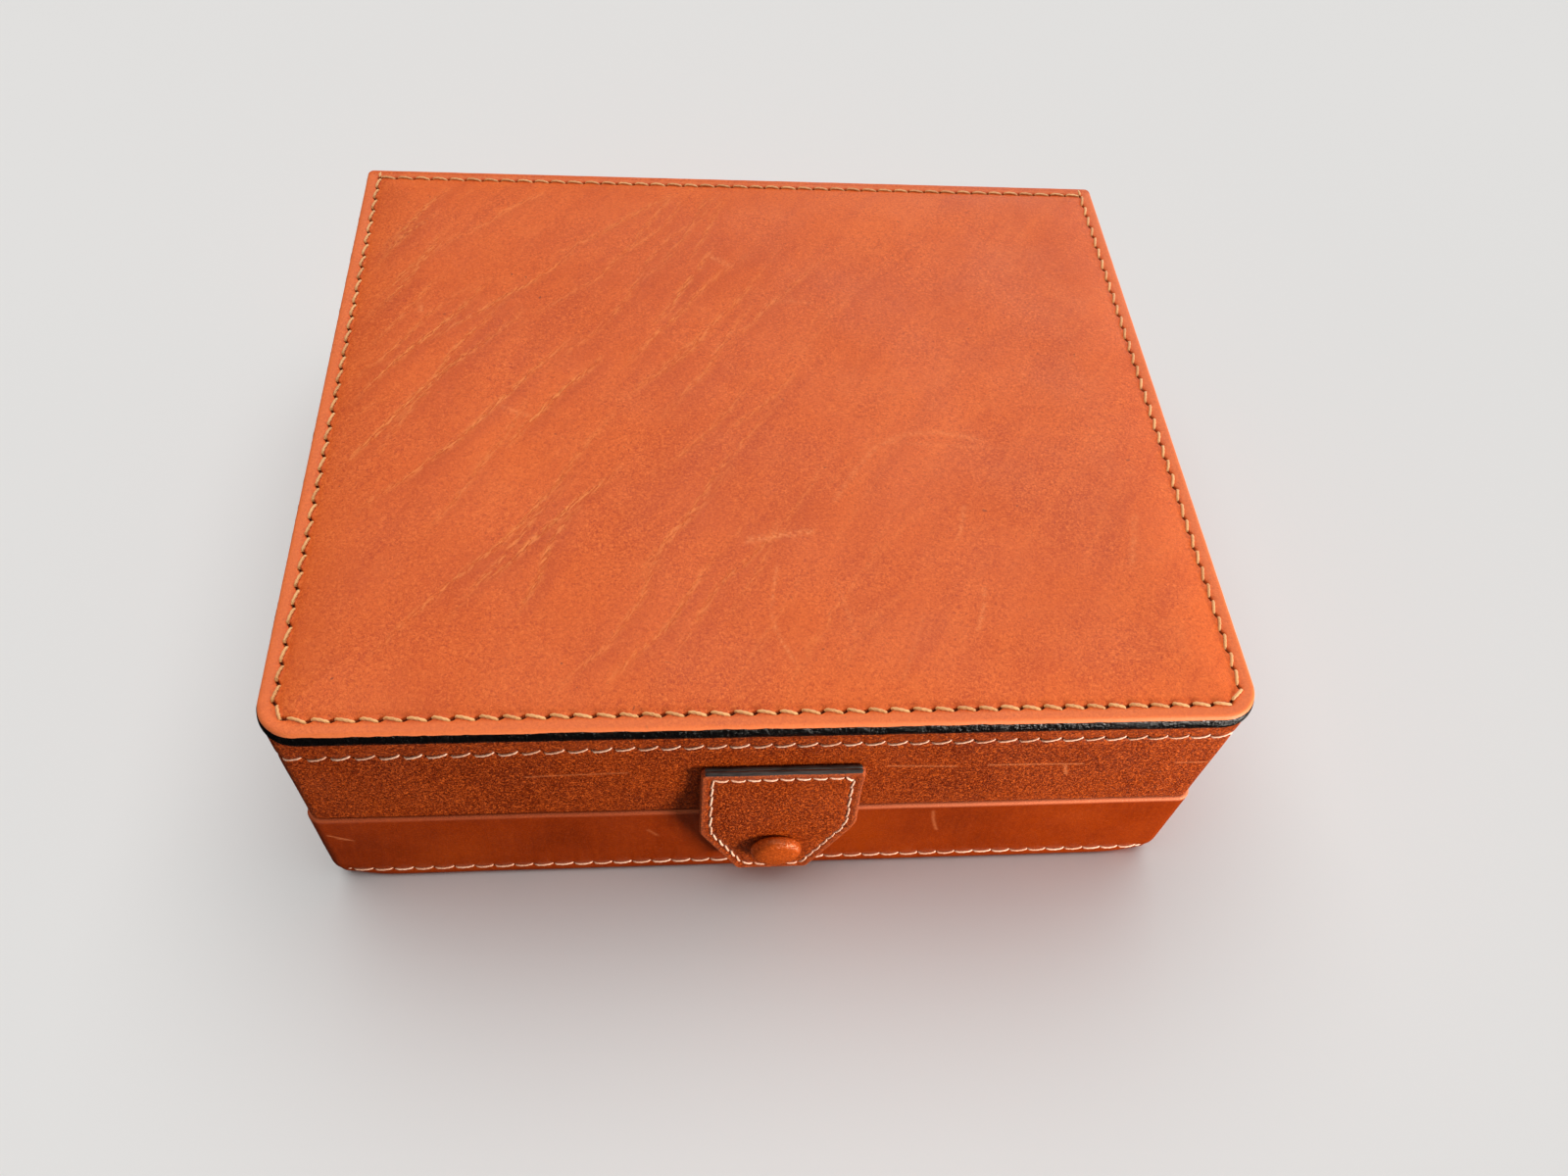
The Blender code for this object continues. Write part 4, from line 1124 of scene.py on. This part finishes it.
# --- Tab and its covered stud -----------------------------------------------------------------
def tab_half(z, side=-1):
    """From the tab's middle to one side (-1 or 1): it tapers to its foot and has round corners.

    It was cut by hand: the right side's taper starts a little higher than the left's.
    """
    start = TAB_TAPER + (3.2 * MM if side > 0 else 0)
    taper = (start - z) / (start - TAB_LOW.z)
    soft = 0.04
    taper = 0.5 * (taper + math.sqrt(taper * taper + soft * soft)) - 0.5 * soft
    half = TAB_HALF + (TAB_HALF_FOOT - TAB_HALF) * min(max(taper, 0), 1)
    corner = 1.3 * MM
    return half - rounding(min(TAB_HIGH.z - z, z - TAB_LOW.z), corner)


def tab_back(z):
    """y of the tab's back: against the lid above its fold, and clear of the stud below it."""
    near_lid, at_stud = TAB_HIGH.y + 1.25 * MM, BASE_BOX[0].y - TAB_STANDOFF
    return near_lid + (at_stud - near_lid) * smooth((TAB_FOLD.z - z) / (TAB_FOLD.z - CAP_HIGH.z))


def tab_front(x, z):
    bulge = 0.12 * MM * wave(x, 0, z, 80, 5.0) + 0.05 * MM * wave(x, 0, z, 300, 6.0)
    return tab_back(z) - TAB_THICKNESS - bulge * smooth((tab_half(z, x) - abs(x)) / (2 * MM))


def tab_slope(z):
    return (tab_back(z + 0.2 * MM) - tab_back(z - 0.2 * MM)) / (0.4 * MM)


def tab_seam():
    """The row inside the tab's outline, all the way round."""
    top, foot = TAB_HIGH.z - TAB_INSET, TAB_LOW.z + TAB_INSET
    heights = spaced(top, foot, 0.4 * MM)
    left, right = (
        [(side * (tab_half(z, side) - TAB_INSET * (1.08 if z < TAB_TAPER else 1)), z) for z in heights]
        for side in (-1, 1)
    )
    across_top = [(x, top) for x in spaced(left[0][0], right[0][0], 0.4 * MM)]
    across_foot = [(x, foot) for x in spaced(right[-1][0], left[-1][0], 0.4 * MM)]
    path = across_top + right[1:] + across_foot[1:] + left[-2::-1]
    middle = (TAB_HIGH.z + TAB_LOW.z) / 2
    line, normal, across = [], [], []
    for i, (x, z) in enumerate(path):
        line.append((TAB_FOLD.x + x, tab_front(x, z) + 0.1 * MM, z))
        normal.append((0, -1, tab_slope(z)))
        way = np.subtract(path[min(i + 1, len(path) - 1)], path[max(i - 1, 0)])
        outward = np.array((way[1], -way[0])) * -1
        if outward @ (x, z - middle) < 0:
            outward = -outward
        across.append((outward[0], 0, outward[1]))
    return Seam(line, normal, across, 3.5 * MM, 2.75 * MM, 0.4 * MM, 0.23 * MM)


def make_tab(surface, edge_surface, thread):
    """The tab as one piece of two layers, face outward, bowed out over the stud, and its stitches."""
    edge = (0, 0.05, 0.14, 0.28, 0.5, 0.8, 1.15, 1.45, 1.7, 1.9, 2.1, 2.3, 2.5, 2.7, 2.95, 3.3)
    edge, plain = [d * MM for d in edge], 3.7 * MM
    inner = spaced(0, 1, 0.02)
    heights = stops(TAB_LOW.z, TAB_HIGH.z, edge, plain, 0.4 * MM)
    columns = 2 * len(edge) + len(inner)
    points, rim = [], []
    for back_side in (False, True):
        for z in heights:
            left, right = tab_half(z, -1), tab_half(z, 1)
            xs = [d - left for d in edge] + [plain - left + s * (left + right - 2 * plain) for s in inner]
            xs += [right - d for d in reversed(edge)]
            lean = 0.91 if z < TAB_TAPER else 1.0
            for x in xs:
                inset = min((x + left) * lean, (right - x) * lean, TAB_HIGH.z - z, z - TAB_LOW.z)
                if back_side:
                    y = tab_back(z) - rounding(inset, 0.3 * MM)
                else:
                    y = tab_front(x, z) + rounding(inset, 0.5 * MM)
                    y += 0.14 * MM * bell(inset - TAB_INSET, 0.8 * MM)
                points.append((TAB_FOLD.x + x, y, z))
                rim.append(0.0 if back_side else 0.2 * bell(max(inset - 0.2 * MM, 0), 0.9 * MM))
    rows = len(heights)
    loop = list(range(columns)) + [r * columns + columns - 1 for r in range(1, rows)]
    loop += [(rows - 1) * columns + i for i in range(columns - 2, -1, -1)]
    loop += [r * columns for r in range(rows - 2, 0, -1)]
    back_first = rows * columns
    faces = []
    for first in (0, back_first):
        for r in range(rows - 1):
            for c in range(columns - 1):
                a = first + r * columns + c
                faces.append((a, a + 1, a + columns + 1, a + columns))
    # Rings round the cut edge, with a groove where the two layers meet.
    rings = [loop]
    cut = ((0.15, 0.07), (0.3, 0.1), (0.42, 0.04), (0.47, -0.14))
    cut += ((0.53, -0.14), (0.58, 0.05), (0.72, 0.1), (0.88, 0.06))
    for share, reach in cut:
        ring = []
        for i, index in enumerate(loop):
            front, back = np.array(points[index]), np.array(points[index + back_first])
            way = np.subtract(points[loop[(i + 1) % len(loop)]], points[loop[i - 1]])
            out = np.array((way[2], 0, -way[0])) / max(math.hypot(way[0], way[2]), 1e-9)
            ring.append(len(points))
            rough = reach + 0.05 * wave(*front, 900, share * 9)
            points.append(tuple(front + (back - front) * share + out * rough * MM))
            rim.append(0.25)
        rings.append(ring)
    rings.append([index + back_first for index in loop])
    for a, b in zip(rings, rings[1:]):
        for i in range(len(loop)):
            j = (i + 1) % len(loop)
            faces.append((a[i], a[j], b[j], b[i]))
    seam = tab_seam()
    points = np.array(points)
    inside = press_holes(points, range(back_first), [seam], (0, 1, 0), 0.2 * MM, 0.45 * MM)
    made = mesh_object(
        "tab_leather", points, faces, (surface, edge_surface),
        second=lambda c: c.z > TAB_HIGH.z - 0.12 * MM, hole=inside, rim=rim,
    )
    layers = ("tab_anchor_face", "tab_anchor_backing", "tab_face", "tab_backing")
    bend(made, "tab", "lid", TAB_FOLD, TAB_BEND, "grained_leather", *layers)
    row = seam.sew("tab_stitches", thread, 0.04 * MM)
    bend(row, "tab", "lid", TAB_FOLD, TAB_BEND, "thread", "tab_anchor_thread", "tab_thread")


def make_cap(surface):
    """The press stud's cap: leather drawn over a disc, with small pleats round its side."""
    centre = (CAP_LOW + CAP_HIGH) / 2
    radius, back, front = (CAP_HIGH.x - CAP_LOW.x) / 2, CAP_HIGH.y, CAP_LOW.y
    thick = back - front
    profile = [(0.86, 0.0), (0.94, 0.04), (0.98, 0.12), (1.0, 0.24), (1.0, 0.36)]
    profile += [(0.985, 0.48), (0.955, 0.59), (0.91, 0.68), (0.85, 0.76), (0.77, 0.83)]
    profile += [(0.67, 0.885), (0.55, 0.93), (0.42, 0.96), (0.26, 0.985), (0.08, 1.0)]
    sides = 160
    points = []
    for share, depth in profile:
        side = bell(depth - 0.35, 0.35) * smooth((share - 0.5) / 0.4)
        for k in range(sides):
            angle = math.tau * k / sides
            cx, cz = math.cos(angle), math.sin(angle)
            pleat = abs(wave(cx, cz, 0, 5.5, 3.0)) ** 0.7 + 0.3 * wave(cx, cz, 0, 17, 1.0)
            reach = radius * share * (1 - 0.045 * side * pleat)
            reach *= 1 + 0.012 * wave(cx, cz, depth, 1.3, 9.0) - 0.01
            y = back - thick * depth * (1 - 0.03 * (1 - wave(cx * share, cz * share, 0, 1.6, 2.0)))
            points.append((centre.x + reach * cx, y, centre.z + reach * cz))
    made = mesh_object("snap_cap_cover", points, loft_faces(len(profile), sides), surface, 60)
    place(made, "tab", "saddle_leather", "snap_cap_leather")


# --- Inside -----------------------------------------------------------------------------------
def make_linings(surface):
    """Suede on the walls, floor, ceiling and dividers, each panel a little soft and uneven."""
    radii = {
        "divider": 1.15, "base_lining": 0.75, "lid_lining": 0.45, "base_floor": 0.5, "lid_ceiling": 0.3,
        "ring_roll_bed": 1.0,
    }
    for node in sorted(frame["nodes"]):
        for start, radius in radii.items():
            if node.startswith(start):
                low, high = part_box(node)
                made = rounded_box(f"{node}_suede", low, high, radius * MM, 2.2 * MM, surface, 0.06 * MM)
                place(made, BODY_OF[node], "suede", node)


def make_padding(surface):
    """The pad under the top leather, crowned as the dome above it."""
    low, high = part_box("top_padding")
    high.z -= 0.2 * MM
    made = rounded_box("top_pad", low, high, 0.45 * MM, 5 * MM, surface, 0.05 * MM, 0.15 * MM)
    place(made, "lid", "foam", "top_padding")


def settle(made, pressure, frames):
    """Lets a closed skin swell over its filling as cloth, and keeps the shape it takes."""
    cloth = made.modifiers.new("cloth", "CLOTH")
    cloth.settings.quality = 6
    cloth.settings.mass = 0.25
    cloth.settings.tension_stiffness = 12
    cloth.settings.bending_stiffness = 0.05
    cloth.settings.use_pressure = True
    cloth.settings.uniform_pressure_force = pressure
    cloth.settings.shrink_min = -0.06
    cloth.settings.effector_weights.gravity = 0
    cloth.settings.vertex_group_mass = "held"
    cloth.point_cache.frame_end = frames
    for number in range(1, frames + 1):
        bpy.context.scene.frame_set(number)
    graph = bpy.context.evaluated_depsgraph_get()
    settled = bpy.data.meshes.new_from_object(made.evaluated_get(graph))
    positions = np.empty(len(settled.vertices) * 3)
    settled.vertices.foreach_get("co", positions)
    made.modifiers.clear()
    bpy.data.meshes.remove(settled)
    bpy.context.scene.frame_set(1)
    return positions.reshape(-1, 3)


def make_rolls(surface):
    """Ring rolls: suede sewn over soft cores, so that it puckers a little towards its ends."""
    for number in range(1, 8):
        node = f"ring_roll_{number}"
        low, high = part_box(node)
        centre, radius = (low + high) / 2, (high.z - low.z) / 2
        stations = [(0.0, 0.72), (0.3, 0.82), (0.8, 0.9), (1.6, 0.955), (2.6, 0.985)]
        xs = stops(low.x, high.x, [d * MM for d, _ in stations], 3.8 * MM, 1.25 * MM)
        points = []
        sides = 56
        for x in xs:
            near = min(x - low.x, high.x - x) / MM
            share = float(np.interp(near, *zip(*stations, (3.8, 1.0))))
            for k in range(sides):
                angle = math.tau * k / sides
                cy, cz = math.cos(angle), math.sin(angle)
                reach = radius * share * (0.975 + 0.01 * wave(x, cy, cz, 3, number))
                points.append((x, centre.y + reach * cy, centre.z + reach * cz))
        made = mesh_object(f"{node}_suede", points, loft_faces(len(xs), sides), surface, 60)
        held = made.vertex_groups.new(name="held")
        ends = [i for i, p in enumerate(points) if min(p[0] - low.x, high.x - p[0]) < 1 * MM]
        held.add(ends, 1.0, "REPLACE")
        moved = settle(made, 4.0, 18)
        made.vertex_groups.clear()
        start = np.array(points)
        change = moved - start
        size = np.linalg.norm(change, axis=1, keepdims=True)
        moved = start + change * np.minimum(1, ROLL_SWELL / np.maximum(size, 1e-9))
        # The rolls lie tight in their bay, so none goes past its own room.
        for axis, (a, b) in enumerate(zip(low, high)):
            moved[:, axis] = np.clip(moved[:, axis], a + 0.05 * MM, b - 0.05 * MM)
        made.data.vertices.foreach_set("co", moved.ravel())
        made.data.update()
        place(made, "base", "suede", node)


def make_mirror_frame(surface):
    """A padded leather frame that laps over the glass, with a creased line along its inner edge."""
    low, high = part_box("mirror_frame")
    glass_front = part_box("mirror_glass")[0].z
    border = 13 * MM
    inner = Vector((border, border, 0))
    line, out = round_loop(low + inner, high - inner, 1.5 * MM, 1.2 * MM)
    lap = glass_front - 0.3 * MM
    face = [(0.0, 0.55), (0.15, 0.2), (0.5, 0.06), (1.1, 0.05), (1.4, 0.25), (1.7, 0.05)]
    face += [(d, 0.1 * ((d - 6.5) / 5) ** 2) for d in (2.6, 4, 6, 8, 10, 11.5)]
    face += [(12.4, 0.15), (12.8, 0.45), (12.95, 1)]
    profile = [(0.3, lap), (0.05, lap - 0.3 * MM)] + [(d, low.z + z * MM) for d, z in face]
    profile += [(12.95, high.z), (4.3, high.z), (4.3, lap)]
    points = []
    for (x, y), (nx, ny) in zip(line, out):
        for d, z in profile:
            swell = 0.05 * MM * wave(x, y, d * MM, 90, 3.0)
            points.append((x + nx * d * MM, y + ny * d * MM, min(z + swell, high.z)))
    faces = loft_faces(len(line), len(profile), True)
    made = mesh_object("mirror_frame_leather", points, faces, surface)
    place(made, "lid", "saddle_leather", "mirror_frame")


def make_trims(surface):
    """Leather laid over the boards' edges at the rims, and the leather under the base."""
    corner = BODY_CORNER - 1.9 * MM
    for node, wide in (("base_rim_trim", 3.4 * MM), ("lid_rim_trim", 2.6 * MM)):
        low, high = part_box(node)
        edge, thick = 0.45 * MM, high.z - low.z
        profile = [(0, low.z + edge), (edge, low.z), (wide - edge, low.z), (wide, low.z + edge)]
        top = [(edge * fall, low.z + thick - edge * (1 - sine)) for sine, fall in quarter(range(4), 3)]
        profile += [(wide - d, z) for d, z in top] + top[::-1]
        rows = rows_round(low, high, corner, profile, 2 * MM)
        points = [row[i] for i in range(len(rows[0])) for row in rows]
        faces = loft_faces(len(rows[0]), len(profile), True)
        made = mesh_object(f"{node}_skin", points, faces, surface)
        place(made, BODY_OF[node], "smooth_leather", node)
    low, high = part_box("bottom_leather")
    profile = [(0.9, 0.0), (0.35, 0.08), (0.1, 0.3), (0.0, 0.75), (0.0, 2.1), (0.3, 2.4)]
    rows = rows_round(low, high, 5.2 * MM, [(d * MM, low.z + z * MM) for d, z in profile], 2 * MM)
    rows[0] = [(x, y, low.z) for x, y, _ in rows[0]]  # flat, so that it stands well
    faces = loft_faces(len(rows), len(rows[0]))
    made = mesh_object("bottom_leather_skin", sum(rows, []), faces, surface)
    place(made, "base", "smooth_leather", "bottom_leather")


# --- Floor and light --------------------------------------------------------------------------
def make_floor():
    size = 40.0
    corners = [(-size, -size, 0), (size, -size, 0), (size, size, 0), (-size, size, 0)]
    s = Shader("floor", roughness=1.0, level=0.0)
    s.colour(s.ramp(s.noise(3, 2), (0.3, (0.835, 0.827, 0.812)), (0.7, (0.845, 0.837, 0.822))))
    floor = mesh_object("floor", corners, [(0, 1, 2, 3)], s.material)
    # Seen in the leather's gloss, so large a pale floor would grey its colour.
    floor.visible_glossy = False
    return floor


def sun(name, towards, angle, strength):
    """A soft light from far off. towards points from the case to the light."""
    data = bpy.data.lights.new(name, "SUN")
    data.energy, data.angle = strength, math.radians(angle)
    light = add(name, data)
    light.rotation_euler = Vector(towards).to_track_quat("Z", "Y").to_euler()
    return light


def make_light(floor):
    world = bpy.data.worlds.new("studio")
    world.use_nodes = True
    # A pale room above and darkness under the floor, which only the leather's gloss can see.
    tree = world.node_tree
    split = tree.nodes.new("ShaderNodeSeparateXYZ")
    room = tree.nodes.new("ShaderNodeValToRGB")
    for stop, height, tone in zip(room.color_ramp.elements, (0.0, 0.12), (0.1, 1)):
        stop.position, stop.color = height, (tone, tone, tone, 1)
    tree.links.new(tree.nodes.new("ShaderNodeTexCoord").outputs["Generated"], split.inputs[0])
    tree.links.new(split.outputs["Z"], room.inputs["Fac"])
    tree.links.new(room.outputs["Color"], tree.nodes["Background"].inputs["Color"])
    tree.nodes["Background"].inputs["Strength"].default_value = 0.12
    bpy.context.scene.world = world
    sun("ceiling", (0.0, 0.25, 1), 75, 2.5)
    window = sun("window", (0.52, 0.78, 0.36), 50, 1.05)
    data = bpy.data.lights.new("lamp", "AREA")
    data.size, data.energy = 0.16, 3.8
    lamp = add("lamp", data)
    lamp.location = (0.36, -0.33, 0.06)
    away = lamp.location - Vector((0.05, -0.08, 0.04))
    lamp.rotation_euler = away.to_track_quat("Z", "Y").to_euler()
    # These two stand low and light the case only: on the floor they would leave pools and shadows.
    spared = bpy.data.collections.new("lit_by_the_ceiling_only")
    spared.objects.link(floor)
    spared.collection_objects[0].light_linking.link_state = "EXCLUDE"
    window.light_linking.receiver_collection = lamp.light_linking.receiver_collection = spared
    bpy.context.scene.view_settings.view_transform = "Standard"


# --- Everything -------------------------------------------------------------------------------
def main():
    make_camera()
    make_light(make_floor())
    top_thread = thread_material("tan_thread", (0.8, 0.36, 0.1), (0.95, 0.52, 0.19), (0.45, 0.15, 0.03))
    band_thread = thread_material("pale_thread", (0.94, 0.48, 0.28), (1.0, 0.66, 0.45), (0.55, 0.19, 0.07))
    saddle = saddle_leather()
    # The sides, tab and cap get far darker colours than the top's saddle leather: partly a redder brown leather,
    # partly painted shade, as these faces get less light than the top.
    grained = band_leather(
        "grained_leather", (0.235, 0.024, 0.001), (0.16, 0.013, 0.0005), (0.3, 0.036, 0.002), 1.0, 0.4, 0.25
    )
    smooth_surface = band_leather(
        "smooth_leather", (0.235, 0.023, 0.001), (0.18, 0.016, 0.0005), (0.3, 0.034, 0.001), 0.2, 0.34, 0.25
    )
    rubbed = band_leather(
        "cap_leather", (0.38, 0.05, 0.004), (0.26, 0.028, 0.002), (0.5, 0.08, 0.01), 0.45, 0.24, 0.8
    )
    paint, edge = edge_paint(), raw_edge()
    brown = suede("brown_suede", (0.2, 0.088, 0.038), (0.27, 0.125, 0.058), (0.14, 0.056, 0.023))
    surfaces = {
        "saddle_leather": saddle, "grained_leather": grained, "smooth_leather": smooth_surface,
        "thread": top_thread, "suede": brown, "board": board(), "foam": felt(), "snap_metal": brass(),
        "mirror": mirror(),
    }
    for name, node in frame["nodes"].items():
        node.data.materials.clear()
        node.data.materials.append(surfaces[SLOT_OF[name]])
    make_top(saddle, top_thread)
    make_underlay(paint)
    make_spine(saddle, paint, top_thread)
    make_sides(grained, smooth_surface, band_thread)
    make_tab(grained, edge, band_thread)
    make_cap(rubbed)
    make_linings(brown)
    make_padding(surfaces["foam"])
    make_rolls(brown)
    make_mirror_frame(smooth_surface)
    make_trims(smooth_surface)


main()
